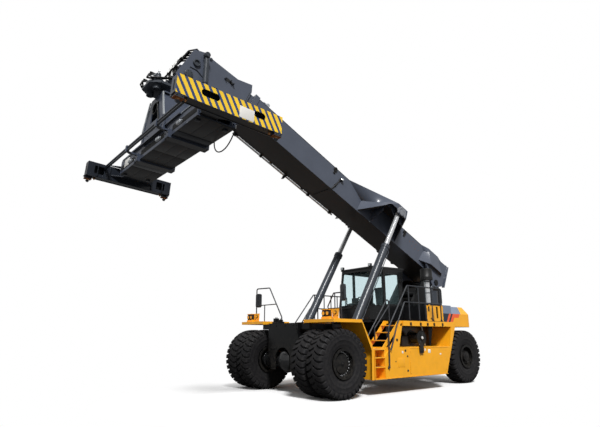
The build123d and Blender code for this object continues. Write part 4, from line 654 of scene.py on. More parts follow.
for side, sign in SIDES:
    face, out = sign * BODY_SIDE, (0, sign, 0)
    signs, bungs, cover, clamps, grip = new_meshes(5)
    for x, z, wide, high in (
        (-1.27, 1.04, 0.07, 0.06), (-1.20, 0.775, 0.075, 0.10), (-2.46, 1.045, 0.12, 0.10),
        (-2.99, 0.957, 0.075, 0.04), (-2.27, 1.085, 0.05, 0.06),
    ):
        side_plate(signs, sign, x - wide / 2, x + wide / 2, z - high / 2, z + high / 2, 0.002, 0.0005)
    ride_piece(f"{side}_blank_sign_plates", signs, blank_sign, "chassis")
    for x, z, radius in (
        (-1.39, 1.075, 0.032), (-1.47, 0.93, 0.026), (-0.97, 0.807, 0.018), (-1.456, 0.558, 0.032),
    ):
        profile = [(0, radius), (0.006, radius), (0.010, radius * 0.7), (0.004, radius * 0.5), (0.004, 0)]
        lathe(bungs, (x, face, z), out, profile, 20)
    side_plate(bungs, sign, -2.15, -1.99, 1.0, 1.21, 0.055, 0.012)
    side_plate(bungs, sign, -2.13, -2.01, 1.03, 1.12, 0.062, 0.006)
    ride_piece(f"{side}_panel_bungs", bungs, plastic, "chassis")
    side_plate(cover, sign, -1.585, -1.555, 0.47, 1.15, 0.007, 0.002)
    side_plate(cover, sign, -3.30, -0.60, 0.395, 0.412, 0.007, 0.002)
    side_plate(cover, sign, -3.40, -1.585, 1.135, 1.16, 0.007, 0.002)
    # the service cover by the steps
    side_plate(cover, sign, -1.34, -1.05, 0.66, 0.89, 0.005, 0.002)
    for x, z, proud, size in (
        (-1.60, 1.05, 0.007, 0.011), (-1.58, 0.774, 0.007, 0.011), (-1.585, 0.498, 0.007, 0.011),
        (-3.265, 1.063, 0, 0.011), (-3.248, 0.79, 0, 0.011), (-3.22, 0.52, 0, 0.011),
        (-2.4, 0.44, 0, 0.011), (-2.8, 0.44, 0, 0.011), (-2.0, 0.44, 0, 0.011),
        (-1.32, 0.68, 0.005, 0.007), (-1.07, 0.68, 0.005, 0.007),
        (-1.32, 0.87, 0.005, 0.007), (-1.07, 0.87, 0.005, 0.007),
    ):
        bolt(cover, (x, face + sign * proud, z), out, size)
    ride_piece(f"{side}_body_side_seams", cover, yellow_enamel, "chassis")
    # clamps and sockets that hold the posts of the hand rail
    for x in (-1.69, -2.14, -2.47, -2.78, -3.20):
        cuboid(clamps, (x - 0.035, face - sign * 0.002, 1.745), (x + 0.035, face + sign * 0.012, 1.83), 0.003)
        cuboid(clamps, (x - 0.045, sign * 1.98, 1.868), (x + 0.045, sign * 2.052, 1.882), 0.003)
        rod(clamps, (x, sign * 2.03, 1.86), (x, sign * 2.03, 1.93), 0.027, 14)
        for shift in (-0.022, 0.022):
            bolt(clamps, (x + shift, face + sign * 0.012, 1.79), out, 0.009)
    for x, z in ((-0.671, 0.66), (-1.06, 1.36)):
        lathe(clamps, (x, face, z), out, [(0, 0.035), (0.01, 0.035), (0.016, 0.028), (0.018, 0)], 18)
    ride_piece(f"{side}_rail_feet", clamps, plastic, "chassis")
    # grip treads of punched teeth on each step, one tooth every 50 mm
    for x0, x1, y0, y1, z in (
        (-0.545, -0.18, 1.80, 2.03, 0.699), (-0.545, -0.18, 1.80, 2.03, 0.931),
        (-0.545, -0.18, 1.80, 2.03, 1.134), (-0.83, -0.63, 1.53, 1.98, 1.354),
        (-1.045, -0.845, 1.53, 1.98, 1.564), (-1.26, -1.06, 1.53, 1.98, 1.749),
    ):
        for i in range(int((x1 - x0) / TOOTH_PITCH)):
            for j in range(int((y1 - y0) / TOOTH_PITCH)):
                at = (x0 + (i + 0.5) * TOOTH_PITCH, sign * (y0 + (j + 0.5) * TOOTH_PITCH), z)
                lathe(grip, at, UP, tooth, 8)
    ride_piece(f"{side}_step_grip_teeth", grip, zinc, "chassis")

# Guard rails and mirror hoops are bent tube, powder coated dark grey with a fine texture.
powder = coated("grey_powder_coat", "#2e3136", 0.42, coat=0.05, dusty=0.1)
finish_nodes(powder, "handrails", "mirrors")
mirror_glass = bare_metal("silvered_mirror_glass", "#e8ecee", 0.03, streak=4)
glasses = bmesh.new()
for sign in (1, -1):
    made, pane = bmesh.new(), bpy.data.meshes.new("pane")
    slab(made, rounded_ring((0, 0), (0.048, 0.155), (0.042, 0.042), 24, math.pi / 24), 0, -0.0345, -0.0295)
    turn = Matrix.Rotation(math.radians(-14.5 * sign), 4, "Z")
    made.transform(Matrix.Translation((0.755, sign * 1.89, 2.53)) @ turn)
    made.to_mesh(pane)
    made.free()
    glasses.from_mesh(pane)
    bpy.data.meshes.remove(pane)
ride_piece("mirror_panes", glasses, mirror_glass, "chassis")


# The counterweight is cast iron, filled, ground and sprayed. Its livery runs across the joint to
# the engine casing: navy, two slanted orange-red bands and a plain grey-blue name field left blank.
def livery(tree, place):
    """Orange-yellow with slanted bands by place: x along the machine, z up."""
    lean, waist, shoulder = 0.64, 1.752, 2.162
    axes = axes_of(tree, place)
    x, z = axes["X"], axes["Z"]
    slanted = calc(tree, "ADD", x, calc(tree, "MULTIPLY_ADD", z, lean, -lean * waist))
    # the first red band starts further back above 2.035 m
    first = calc(tree, "MULTIPLY_ADD", calc(tree, "LESS_THAN", z, 2.035), 0.25, -4.776)
    colour = blend(tree, calc(tree, "GREATER_THAN", slanted, first), YELLOW, BAND_RED)
    for limit, tint in ((-4.372, NAVY), (-4.284, BAND_RED), (-4.164, NAVY)):
        colour = blend(tree, calc(tree, "GREATER_THAN", slanted, limit), colour, tint)
    edge = calc(tree, "ADD", x, calc(tree, "MULTIPLY_ADD", z, 0.9, -0.9 * shoulder + 5.10))
    top = blend(tree, calc(tree, "GREATER_THAN", edge, 0.0), YELLOW, "#7a869b")
    colour = blend(tree, calc(tree, "GREATER_THAN", z, shoulder), colour, top)
    return blend(tree, calc(tree, "GREATER_THAN", x, -4.075), colour, "#131417")


livery_enamel = coated("livery_gloss_enamel", livery, 0.28, **GLOSS)
finish_nodes(livery_enamel, "counterweight", "left_engine_cover", "right_engine_cover")
weight, tail = new_meshes(2)
lifting_eye = [(0, 0.06), (0.02, 0.055), (0.02, 0.03), (0.004, 0.025), (0.004, 0)]
for sign in (-1, 1):
    # cast lifting eyes, the lamps' back plates and the bolts that clamp the block to the frame
    for x in (-5.55, -4.95):
        lathe(weight, (x, sign * 1.0, 2.405), UP, lifting_eye, 20)
    for x in (-5.25, -4.75):
        bolt(weight, (x, sign * 0.88, 2.41), UP, 0.03)
    cuboid(weight, (-6.056, sign * 0.95 - 0.09, 1.98), (-6.046, sign * 0.95 + 0.09, 2.06), 0.004)
    for shift in (-0.055, 0.055):
        at = (-6.052, sign * 0.95 + shift, 2.02)
        lathe(tail, at, (-1, 0, 0), [(0, 0.038), (0.006, 0.038), (0.014, 0.028), (0.016, 0)], 24)
ride_piece("counterweight_eyes_and_bolts", weight, livery_enamel, "chassis")
lens_red, tree, place = new_material("red_lamp_lens_acrylic")
facets = add_node(tree, "TexVoronoi", {"Vector": place, "Scale": 140.0}).outputs["Distance"]
principled(tree, {
    "Base Color": linear("#a01812"), "Roughness": 0.12, "IOR": 1.49, "Coat Weight": 0.3,
    "Normal": bump(tree, facets, 0.3, 0.001),
})
ride_piece("tail_lamp_lenses", tail, lens_red, "chassis")

# The engine casing's doors are pressed steel in gloss yellow, hung from two strap hinges. A rubber
# T-latch is screwed on; the breathing slot behind and its thin bars are near black, as painted shade.
finish_nodes(yellow_enamel, "left_engine_door", "right_engine_door")
for side, sign in SIDES:
    face, sunk, out = sign * 1.5, sign * 1.475, (0, sign, 0)
    door, slot = new_meshes(2)
    for x in (-3.98, -3.34):
        cuboid(door, (x - 0.03, face, 2.20), (x + 0.03, face + sign * 0.006, 2.37), 0.002)
        for z in (2.23, 2.29):
            bolt(door, (x, face + sign * 0.006, z), out, 0.009)
    latch = [(0, 0.026), (0.012, 0.024), (0.014, 0.012), (0.024, 0.011), (0.026, 0)]
    lathe(door, (-3.45, face, 1.99), out, latch, 18)
    cuboid(door, (-3.495, face + sign * 0.016, 1.982), (-3.405, face + sign * 0.026, 1.998), 0.003)
    ride_piece(f"{side}_engine_door_latches", door, plastic, f"{side}_engine_door")
    cuboid(slot, (-3.8295, sunk, 2.001), (-3.7305, sunk + sign * 0.002, 2.359), 0.0004)
    for k in range(9):
        z = 2.015 + k * 0.038
        cuboid(slot, (-3.8295, sunk, z), (-3.7305, sunk + sign * 0.018, z + 0.004), 0.001)
    ride_piece(f"{side}_engine_door_slot", slot, painted_hole_shade, f"{side}_engine_door")

# The silencer is aluminised steel under heat-proof slate paint; the stack beside it is bright
# chromed tube held by band clamps, under the black plastic pre-cleaner that draws in clean air.
finish_nodes(slate_enamel, "exhaust")
finish_nodes(plastic, "air_canister")
STACK_X, STACK_Y = -3.82, 1.15
SILENCER_X, SILENCER_Y = -4.18, 1.05
stack, bands, cap = new_meshes(3)
collar(stack, (STACK_X, STACK_Y, 2.42), UP, 0.082, 0.0885, 0.83, 40)
ride_piece("chromed_stack_sleeve", stack, chrome, "chassis")
for x, y, z, radius, width in (
    (STACK_X, STACK_Y, 2.47, 0.0915, 0.03), (STACK_X, STACK_Y, 2.80, 0.0915, 0.03),
    (STACK_X, STACK_Y, 3.17, 0.093, 0.04), (SILENCER_X, SILENCER_Y, 2.46, 0.1985, 0.035),
    (SILENCER_X, SILENCER_Y, 2.80, 0.1985, 0.035), (SILENCER_X, SILENCER_Y, 2.865, 0.202, 0.03),
):
    collar(bands, (x, y, z), UP, radius - 0.006, radius, width, 40)
    low, high = (x + radius - 0.012, y - 0.014, z + 0.004), (x + radius + 0.022, y + 0.014, z + width - 0.004)
    cuboid(bands, low, high, 0.003)
tail_pipe = ((-4.18, 2.89), (-4.18, 2.99), (-4.21, 3.04), (-4.29, 3.07))
pipe_run(bands, [(x, SILENCER_Y, z) for x, z in tail_pipe], 0.05, 20)
ride_piece("stack_and_silencer_bands", bands, slate_enamel, "chassis")
lathe(cap, (STACK_X, STACK_Y, 3.235), UP, [
    (0, 0.10), (0, 0.196), (0.10, 0.200), (0.115, 0.190), (0.345, 0.190), (0.375, 0.165), (0.382, 0.12),
    (0.384, 0),
], 48)
for at in hoop((STACK_X, STACK_Y, 3.24), 0.196, turns(24), 2):
    rod(cap, at, at + Vector((0, 0, 0.09)), 0.006, 6)
ride_piece("pre_cleaner_ribs_and_cap", cap, plastic, "chassis")

# The cab is a welded tube frame in black gloss, its safety glass with a faint teal tint bonded in
# rubber. Inside are a sprung seat, a dash with its screen and a plain steering wheel.
cab_enamel = coated("black_cab_gloss_enamel", "#0f1113", 0.26, coat=0.25, dusty=0.06, spec=0.35)
finish_nodes(cab_enamel, "cab_frame", "cab_door", "cab_roof")
glass, tree, place = new_material("tinted_safety_glass")
smear = noise(tree, place, 3.0, 4.0)
clear = add_node(tree, "BsdfTransparent", {"Color": linear("#f3f9fa")})
sheen = add_node(tree, "BsdfPrincipled", {
    "Base Color": linear("#a9c6c8"), "IOR": 1.52, "Roughness": remap(tree, smear, 0.4, 0.8, 0.02, 0.07),
    "Normal": bump(tree, smear, 0.02, 0.002),
})
# only the face that a ray comes in through is bright; inside the pane nothing is lost
outside = calc(tree, "SUBTRACT", 1.0, add_node(tree, "NewGeometry").outputs["Backfacing"])
share = calc(tree, "MULTIPLY", add_node(tree, "Fresnel", {"IOR": 1.5}).outputs[0], outside)
end_material(tree, add_node(tree, "MixShader", {0: share, 1: clear.outputs[0], 2: sheen.outputs[0]}))
finish_nodes(glass, "cab_glass", "door_glass")
rubber_seal = coated("black_rubber_seal", "#101011", 0.6, coat=0, worn=0, dusty=0.05)
finish_nodes(plastic, "console")

GLASS_SIDE, SILL, LINTEL = 0.662, 2.37, 3.44
quarter = [(-2.215, SILL), (-1.605, SILL), (-1.77, LINTEL), (-2.215, LINTEL)]
rear_window = [(-3.05, SILL), (-2.27, SILL), (-2.27, LINTEL), (-3.05, LINTEL)]
panes = [[(x, y, z) for x, z in quarter] for y in (-GLASS_SIDE, GLASS_SIDE)]
panes.append([(x, -GLASS_SIDE, z) for x, z in rear_window])
windscreen = [(-1.551 - 0.143 * (z - 2.33), y, z) for z, y in ((2.38, -1), (2.38, 1), (3.43, 1), (3.43, -1))]
panes.append([(x, 0.595 * y, z) for x, y, z in windscreen])
seals, trim, lenses = new_meshes(3)
for pane in panes:
    pipe_run(seals, pane + pane[:2], 0.011, 8)
ride_piece("window_seals", seals, rubber_seal, "chassis")
# wiper arms and blades on the windscreen
pipe_run(trim, [(-1.545, -0.05, 2.36), (-1.55, 0.10, 2.43), (-1.567, 0.42, 2.60)], 0.009, 8)
pipe_run(trim, [(-1.545, 0.18, 2.47), (-1.60, 0.56, 2.84)], 0.007, 8)
lathe(trim, (-1.545, -0.05, 2.35), AHEAD, [(0, 0.03), (0.03, 0.028), (0.036, 0)], 16)
# roof lamps on stalks and the pressed ribs of the roof
for y in (-0.61, 0.61):
    cuboid(trim, (-1.74, y - 0.055, 3.565), (-1.655, y + 0.055, 3.655), 0.014)
    rod(trim, (-1.72, y, 3.53), (-1.72, y, 3.58), 0.012, 8)
    cuboid(lenses, (-1.66, y - 0.045, 3.578), (-1.651, y + 0.045, 3.642), 0.006)
for k in range(9):
    cuboid(trim, (-2.95 + k * 0.10, -0.50, 3.598), (-2.91 + k * 0.10, 0.50, 3.612), 0.003)
# a grab rail beside the door, and the cowl below the windscreen
rail = ((0.66, 2.42), (0.72, 2.44), (0.72, 3.10), (0.66, 3.12))
pipe_run(trim, [(-2.20, y, z) for y, z in rail], 0.012, 10)
cuboid(trim, (-1.60, -0.62, 2.28), (-1.535, 0.62, 2.335), 0.008)
ride_piece("cab_trim_wipers_and_lamps", trim, plastic, "chassis")
lens_clear, tree, place = new_material("pressed_lamp_glass")
flutes = add_node(tree, "TexWave", {"Vector": place, "Scale": 40.0, "bands_direction": "Y"}).outputs["Fac"]
principled(tree, {
    "Base Color": linear("#dfe6ea"), "Roughness": 0.08, "IOR": 1.5, "Metallic": 0.6,
    "Normal": bump(tree, flutes, 0.35, 0.002),
})
ride_piece("roof_lamp_lenses", lenses, lens_clear, "chassis")

# Headlamp sets: black die-cast work lamps in folded yellow brackets, with a marker lamp beside
# them behind a flared guard plate.
finish_nodes(yellow_enamel, "headlamps")
bezels, glow_lens = new_meshes(2)
for start in (1.41, -2.04):
    for y in (start + 0.075, start + 0.225):
        cuboid(bezels, (1.0, y - 0.066, 1.935), (1.062, y + 0.066, 2.095), 0.010)
        bezel = [(0, 0.062), (0.018, 0.060), (0.022, 0.050), (0.010, 0.048)]
        lathe(bezels, (1.062, y, 2.015), AHEAD, bezel, 28)
        lathe(glow_lens, (1.066, y, 2.015), AHEAD, [(0.006, 0.050), (0.012, 0.035), (0.014, 0)], 28)
        cuboid(bezels, (0.965, y - 0.03, 2.09), (1.03, y + 0.03, 2.11), 0.005)
    y = start + 0.46
    lathe(bezels, (1.018, y, 2.025), AHEAD, [(0, 0.046), (0.02, 0.044), (0.024, 0.036), (0.014, 0.034)], 24)
    lathe(glow_lens, (1.03, y, 2.025), AHEAD, [(0, 0.035), (0.008, 0.024), (0.010, 0)], 24)
    for shift in (-0.07, 0.07):
        bolt(bezels, (1.02, y + shift, 1.95), AHEAD, 0.010)
ride_piece("headlamp_bezels", bezels, plastic, "chassis")
ride_piece("headlamp_lenses", glow_lens, lens_clear, "chassis")

# The cable reel in the body side is black sheet steel with a turned white plastic hub; a bright
# steel tube slants up behind it.
finish_nodes(plastic, "left_hose_drum", "right_hose_drum")
hub_white = coated("white_nylon_hub", "#e9e9e6", 0.35, coat=0, worn=0, dusty=0.1)
REEL_X, REEL_Z, REEL_FACE = -2.30, 1.41, 1.93
HOSE_COIL, HOSE_PITCH = 0.135, 0.034
for side, sign in SIDES:
    out = (0, sign, 0)
    hub, rim, bright = new_meshes(3)
    face = (REEL_X, sign * REEL_FACE, REEL_Z)
    lathe(hub, face, out, [(0, 0.045), (0.035, 0.042), (0.045, 0.03), (0.045, 0)], 24)
    ride_piece(f"{side}_reel_hub", hub, hub_white, "chassis")
    for y in (1.56, 1.90):
        flange = [(0, 0.185), (-0.004, 0.208), (0.034, 0.208), (0.030, 0.185)]
        lathe(rim, (REEL_X, sign * y, REEL_Z), out, flange, 48)
    spoke_line = (REEL_X, sign * 1.932, REEL_Z)
    for spoke in zip(hoop(spoke_line, 0.055, turns(6), 1), hoop(spoke_line, 0.185, turns(6), 1)):
        pipe_run(rim, spoke, 0.008, 8)
    bolt_ring(rim, face, out, 0.085, 6, 0.010)
    # turns of hose between the flanges
    for k in range(9):
        angles = [2 * math.pi * j / 24 for j in range(25)]
        ring = hoop((REEL_X, sign * (1.60 + k * HOSE_PITCH), REEL_Z), HOSE_COIL, angles, 1)
        climb = sign * HOSE_PITCH / 24
        pipe_run(rim, [spot + Vector((0, climb * j, 0)) for j, spot in enumerate(ring)], 0.016, 8)
    ride_piece(f"{side}_reel_flanges_and_hose", rim, plastic, "chassis")
    feed = [(x, sign * 1.80, z) for x, z in ((-2.62, 1.19), (-2.56, 1.45), (-2.50, 1.73))]
    pipe_run(bright, feed, 0.022, 12)
    ride_piece(f"{side}_reel_feed_tube", bright, zinc, "chassis")

# The driver's seat is a sprung pedestal with two fabric cushions: crowned foam, pulled in
# between the corners, with two sewn channels.
fabric, tree, place = new_material("charcoal_seat_fabric")
weave = add_node(tree, "TexVoronoi", {"Vector": place, "Scale": 420.0}).outputs["Distance"]
principled(tree, {
    "Base Color": blend(tree, noise(tree, place, 9.0, 5.0), "#26282c", "#3a3d43"), "Roughness": 0.85,
    "Sheen Weight": 0.3, "Sheen Roughness": 0.5, "Normal": bump(tree, weave, 0.5, 0.001),
})
finish_nodes(fabric, "seat")


def settle(piece):
    """The mesh of a piece with its modifiers applied, and none left on it."""
    evaluated = piece.evaluated_get(bpy.context.evaluated_depsgraph_get())
    shape = bpy.data.meshes.new_from_object(evaluated)
    piece.modifiers.clear()
    piece.data = shape


def cushion(name, size, place):
    """A foam cushion of a given size: a remeshed block swelled by cloth pressure, then placed."""
    swell, channel_deep, side_pull = 0.014, 0.010, 0.008
    block = bmesh.new()
    half = [side / 2 - 0.016 for side in size]
    cuboid(block, [-h for h in half], half, 0.03)
    mesh = bpy.data.meshes.new(name)
    block.to_mesh(mesh)
    block.free()
    pad = put_in_scene(name, mesh)
    pad.modifiers.new("even_faces", "REMESH").voxel_size = 0.014
    settle(pad)
    before = [v.co.copy() for v in pad.data.vertices]
    cloth = pad.modifiers.new("foam", "CLOTH").settings
    cloth.use_pressure = True
    cloth.uniform_pressure_force = 4
    cloth.effector_weights.gravity = 0
    for frame_number in range(1, 16):
        scene.frame_set(frame_number)
    settle(pad)
    scene.frame_set(1)
    for vertex, start in zip(pad.data.vertices, before):
        push = vertex.co - start
        vertex.co = start + push * min(1, swell / max(push.length, 1e-6))
    # sewn channels run across the cushion, and the sides pull in between the corners
    for vertex in pad.data.vertices:
        x, y, z = vertex.co
        for line in (-size[0] * 0.17, size[0] * 0.17):
            dip = channel_deep * math.exp(-(((x - line) / 0.014) ** 2))
            vertex.co.z -= dip if z > 0 else 0
        pull = side_pull * math.cos(math.pi * x / size[0]) * (abs(y) * 2 / size[1]) ** 4
        vertex.co.y -= math.copysign(pull, y)
    pad.data.transform(place)
    pad.data.materials.append(fabric)
    for face in pad.data.polygons:
        face.use_smooth = True
    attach(pad, "chassis")
    return pad


seat_pad = cushion("seat_cushion", (0.49, 0.48, 0.12), Matrix.Translation((-2.575, 0, 2.362)))
lean = Matrix.Rotation(math.radians(96.7), 4, "Y") @ Matrix.Rotation(math.pi, 4, "Z")
cushion("seat_back_cushion", (0.63, 0.47, 0.10), Matrix.Translation((-2.823, 0, 2.735)) @ lean)
pedestal = bmesh.new()
cuboid(pedestal, (-2.775, -0.195, 2.015), (-2.425, 0.195, 2.06), 0.01)
for k in range(6):
    inset, z = 0.006 * (k % 2), 2.06 + k * 0.035
    cuboid(pedestal, (-2.765 + inset, -0.185, z), (-2.435 - inset, 0.185, z + 0.035), 0.008)
cuboid(pedestal, (-2.79, -0.21, 2.27), (-2.41, 0.21, 2.302), 0.008)
for y in (-0.232, 0.232):
    cuboid(pedestal, (-2.80, y - 0.018, 2.44), (-2.50, y + 0.018, 2.50), 0.015)
ride_piece("seat_pedestal", pedestal, plastic, "chassis")
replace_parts(seat_pad, "seat")

# Instruments: two lit screens on the dash, keys along the armrest and a control lever.
cabin, screens = new_meshes(2)
for y, size in ((0.27, 0.11), (-0.16, 0.14)):
    cuboid(cabin, (-1.80, y - size, 2.47), (-1.775, y + size, 2.63), 0.006)
    cuboid(screens, (-1.8035, y - size + 0.012, 2.485), (-1.7995, y + size - 0.012, 2.618), 0.001)
for k in range(5):
    x = -2.52 + k * 0.022
    for y in (-0.34, -0.30):
        cuboid(cabin, (x, y - 0.012, 2.52), (x + 0.015, y + 0.012, 2.53), 0.003)
rod(cabin, (-2.47, -0.32, 2.52), (-2.45, -0.32, 2.64), 0.012, 10)
knob = [(0, 0.014), (0.03, 0.028), (0.07, 0.026), (0.085, 0.012), (0.087, 0)]
lathe(cabin, (-2.45, -0.32, 2.63), (0.1, 0, 1), knob, 16)
cuboid(cabin, (-3.02, -0.55, 2.30), (-2.95, 0.55, 2.36), 0.01)
ride_piece("cab_controls_detail", cabin, plastic, "chassis")
screen, tree, place = new_material("dim_display_glass")
principled(tree, {"Base Color": linear("#3b5a74"), "Roughness": 0.12})
ride_piece("cab_displays", screens, screen, "chassis")


def painted_shade_underneath(tone, dark):
    """One colour on sides and top, turning darker on plates that face down as painted shade."""
    def pattern(tree, place):
        return blend(tree, remap(tree, normal_up(tree), -0.45, -0.8), tone, dark)
    return pattern


# The boom is two welded steel boxes, one inside the other, in slate two-pack enamel. The plates
# that face down are nearly black with painted shade.
slate_with_painted_shade = painted_shade_underneath("#4f5562", "#3b3735")
boom_enamel = coated("slate_boom_enamel", slate_with_painted_shade, 0.3, coat=0.3, spec=0.35)
finish_nodes(boom_enamel, "outer_boom", "inner_boom")
pipe_silver = bare_metal("silver_enamelled_pipe", "#cdd2d6", 0.3, metallic=0.5)
finish_nodes(pipe_silver, "boom_pipes")
clips, line = new_meshes(2)
for along in (1.2, 2.0, 4.55, 4.55 + 4.05 / 3, 4.55 + 8.1 / 3, 8.6):
    cuboid(clips, (along - 0.045, -0.55, 0.232), (along + 0.045, -0.465, 0.376), 0.006)
    for up in (0.255, 0.352):
        bolt(clips, (along, -0.55, up), (0, -1, 0), 0.012)
# a return line and its clips run along the lower edge of the right side
pipe_run(line, [(x, -0.515, 0.205) for x in (4.45, 6.6, 8.75)], 0.027, 12)
for k in range(5):
    x = 4.55 + k * 1.02
    cuboid(clips, (x, -0.546, 0.172), (x + 0.08, -0.462, 0.246), 0.006)
zinc_pipe = bare_metal("bright_zinc_pipe", "#eef1f4", 0.3, metallic=0.25)
ride_piece("boom_return_line", line, zinc_pipe, "boom", place=boom_place)
# the drain cock that hangs below the pipes
cuboid(clips, (6.62, -0.56, 0.10), (6.68, -0.50, 0.24), 0.008)
rod(clips, (6.65, -0.60, 0.11), (6.65, -0.46, 0.11), 0.018, 10)
ride_piece("boom_pipe_clips", clips, plastic, "boom", place=boom_place)
# a work lamp on its bar across the side, lifting lugs, reflector studs and weld seams
BOOM_SIDE = 0.47
fittings, studs, lamp = new_meshes(3)
for sign in (-1, 1):
    side, out, lamp_way = sign * BOOM_SIDE, (0, sign, 0), (0.2, sign, 0.1)
    bar = ((5.50, 0.462, 0.24), (5.44, 0.488, 0.34), (5.27, 0.488, 0.80))
    pipe_run(fittings, [(x, sign * y, z) for x, y, z in bar], 0.022, 10)
    for along, up in ((5.40, 0.45), (5.30, 0.72)):
        low, high = (along - 0.04, side, up - 0.03), (along + 0.04, side + sign * 0.03, up + 0.03)
        cuboid(fittings, low, high, 0.004)
    lathe(fittings, (5.235, side + sign * 0.01, 0.76), lamp_way, [(0, 0.05), (0.06, 0.055), (0.07, 0.05)], 20)
    lathe(lamp, (5.247, side + sign * 0.072, 0.767), lamp_way, [(0, 0.05), (0.012, 0.035), (0.014, 0)], 20)
    for along, up in ((5.60, 0.93), (1.98, 0.90)):
        lug = [(0, 0.075), (0.04, 0.07), (0.04, 0.032), (0.01, 0.028), (0.01, 0)]
        lathe(fittings, (along, side, up), out, lug, 24)
        low, high = (along - 0.04, side, up - 0.16), (along + 0.04, side + sign * 0.022, up - 0.05)
        cuboid(fittings, low, high, 0.006)
    for along, up in ((1.46, 0.66), (1.28, 0.66), (1.10, 0.70), (1.46, 0.84), (1.28, 0.84), (1.62, 0.75)):
        lathe(studs, (along, side, up), out, [(0, 0.014), (0.006, 0.012), (0.008, 0)], 12)
    for up in (0.236, 0.988):
        cuboid(fittings, (-0.3, side, up), (8.8, side + sign * 0.004, up + 0.014), 0.0015)
for k in range(6):
    y = -0.30 + k * 0.12
    cuboid(fittings, (5.50, y - 0.04, 0.222), (5.54, y + 0.04, 0.236), 0.003)
rusted = bare_metal("rusted_stud_steel", "#a0643a", 0.5, metallic=0.4)
ride_piece("boom_side_lugs_and_lamp_bar", fittings, plastic, "boom", place=boom_place)
ride_piece("boom_side_studs", studs, rusted, "boom", place=boom_place)
ride_piece("boom_side_lamp_lens", lamp, lens_clear, "boom", place=boom_place)
top = bmesh.new()
for y in (-0.30, 0.30):
    cuboid(top, (8.40, y - 0.05, 1.002), (8.70, y + 0.05, 1.03), 0.006)
    cuboid(top, (8.46, y - 0.03, 1.03), (8.52, y + 0.03, 1.15), 0.008)
    lathe(top, (8.49, y - 0.07, 1.14), (0, 1, 0), [(0, 0), (0, 0.055), (0.14, 0.055), (0.14, 0)], 20)
    pipe_run(top, [(x, y, z) for x, z in ((8.49, 1.17), (8.62, 1.16), (8.72, 1.08), (8.80, 1.04))], 0.022, 10)
    for x in (8.42, 8.66):
        bolt(top, (x, y, 1.03), UP, 0.014)
ride_piece("boom_top_hose_rollers", top, pipe_silver, "boom", place=boom_place)

# A cast crescent is bolted over each lift pin at the wing's tip, ground and left bright; the pin's
# keeper plate and two plugs show on it.
crescent = bmesh.new()
for sign in (-1, 1):
    out = (0, sign, 0)
    start, stop, steps = math.radians(-30), math.radians(205), 22
    arc = [start + (stop - start) * k / steps for k in range(steps + 1)]
    outline = [
        (LIFT_PIN_X + wide * math.cos(t), min(LIFT_PIN_Z + high * math.sin(t), 1.02))
        for wide, high, angles in ((0.205, 0.20, arc), (0.118, 0.118, arc[::-1])) for t in angles
    ]
    slab(crescent, outline, 1, sign * 1.178, sign * 1.196)
    plug = [(0, 0.034), (0.012, 0.032), (0.014, 0.018), (0.008, 0.016), (0.008, 0)]
    for along, up in ((3.11, 0.985), (2.93, 0.965)):
        lathe(crescent, (along, sign * 1.194, up), out, plug, 20)
    keeper = [(0, 0.10), (0.014, 0.098), (0.018, 0.07), (0.014, 0.0)]
    lathe(crescent, (LIFT_PIN_X, sign * 1.196, LIFT_PIN_Z), out, keeper)
    bolt_ring(crescent, (LIFT_PIN_X, sign * 1.21, LIFT_PIN_Z), out, 0.078, 4, 0.012, 0.4)
ground_cast = bare_metal("ground_cast_steel", "#a9acb2", 0.42, metallic=0.6)
ride_piece("wing_pin_crescents", crescent, ground_cast, "boom", place=boom_place)

# The head plates carry the tilt pin, the damper pins and, along their front edge, the bundle of
# black hoses and light nylon guards that feed the slewing motors.
head, cutout, hoses, guards = new_meshes(4)
for sign in (-1, 1):
    side, out = sign * BOOM_SIDE, (0, sign, 0)
    for along, up, radius, start in ((TILT_PIN_X, TILT_PIN_Z, 0.115, 0.495), (10.69, 0.79, 0.072, 0.66)):
        pin_cap = [(0, radius), (0.016, radius), (0.022, radius * 0.9), (0.022, 0)]
        lathe(head, (along, sign * start, up), out, pin_cap)
        bolt_ring(head, (along, sign * (start + 0.02), up), out, radius * 0.68, 5, 0.012)
    boss = [(0, 0.105), (0.05, 0.10), (0.055, 0.07), (0.02, 0.06), (0.02, 0)]
    lathe(head, (10.78, side, 0.47), out, boss, 28)
    lashing = ((10.87, 0.476, 0.24), (10.68, 0.485, 0.30), (10.47, 0.476, 0.25))
    pipe_run(head, [(x, sign * y, z) for x, y, z in lashing], 0.012, 8)
    # bulkhead fittings over the cable cut-out
    fitting = [(0, 0.03), (0.05, 0.028), (0.05, 0.018), (0.09, 0.016), (0.09, 0)]
    for along, up in ((9.95, 0.72), (9.80, 0.76), (9.70, 0.74)):
        lathe(head, (along, side, up), out, fitting, 14)
    cuboid(head, (9.16, sign * 0.466 - 0.006, 0.30), (9.19, sign * 0.466 + 0.006, 0.95), 0.002)
    cuboid(head, (10.50, side, 0.86), (10.56, sign * 0.50, 0.93), 0.006)
    # the cable cut-out is a thin near-black sheet on the plate, painted shade
    slot = rounded_ring((9.82, 0.75), (0.09, 0), (0.05, 0.05))
    slab(cutout, slot, 1, sign * 0.469, sign * 0.4725)
ride_piece("boom_head_pin_caps", head, slate_enamel, "telescope", place=boom_place)
ride_piece("boom_head_cable_cut_outs", cutout, painted_hole_shade, "telescope", place=boom_place)
for k in range(7):
    y = -0.33 + k * 0.11
    swell = 0.03 * math.sin(k * 2.1)
    route = [
        (10.72, y, 0.93), (10.95 + swell, y, 0.95), (11.09, y * 0.95, 0.74 + swell),
        (11.12 + swell, y * 0.9, 0.45), (11.14, y * 0.85, 0.18), (11.05, y * 0.8, -0.08),
    ]
    bm, radius = (guards, 0.03) if k % 3 == 1 else (hoses, 0.022)
    pipe_run(bm, route, radius, 10)
for along, up in ((11.08, 0.70), (11.13, 0.38), (11.12, 0.08)):
    cuboid(hoses, (along - 0.045, -0.36, up - 0.02), (along + 0.035, 0.36, up + 0.02), 0.008)
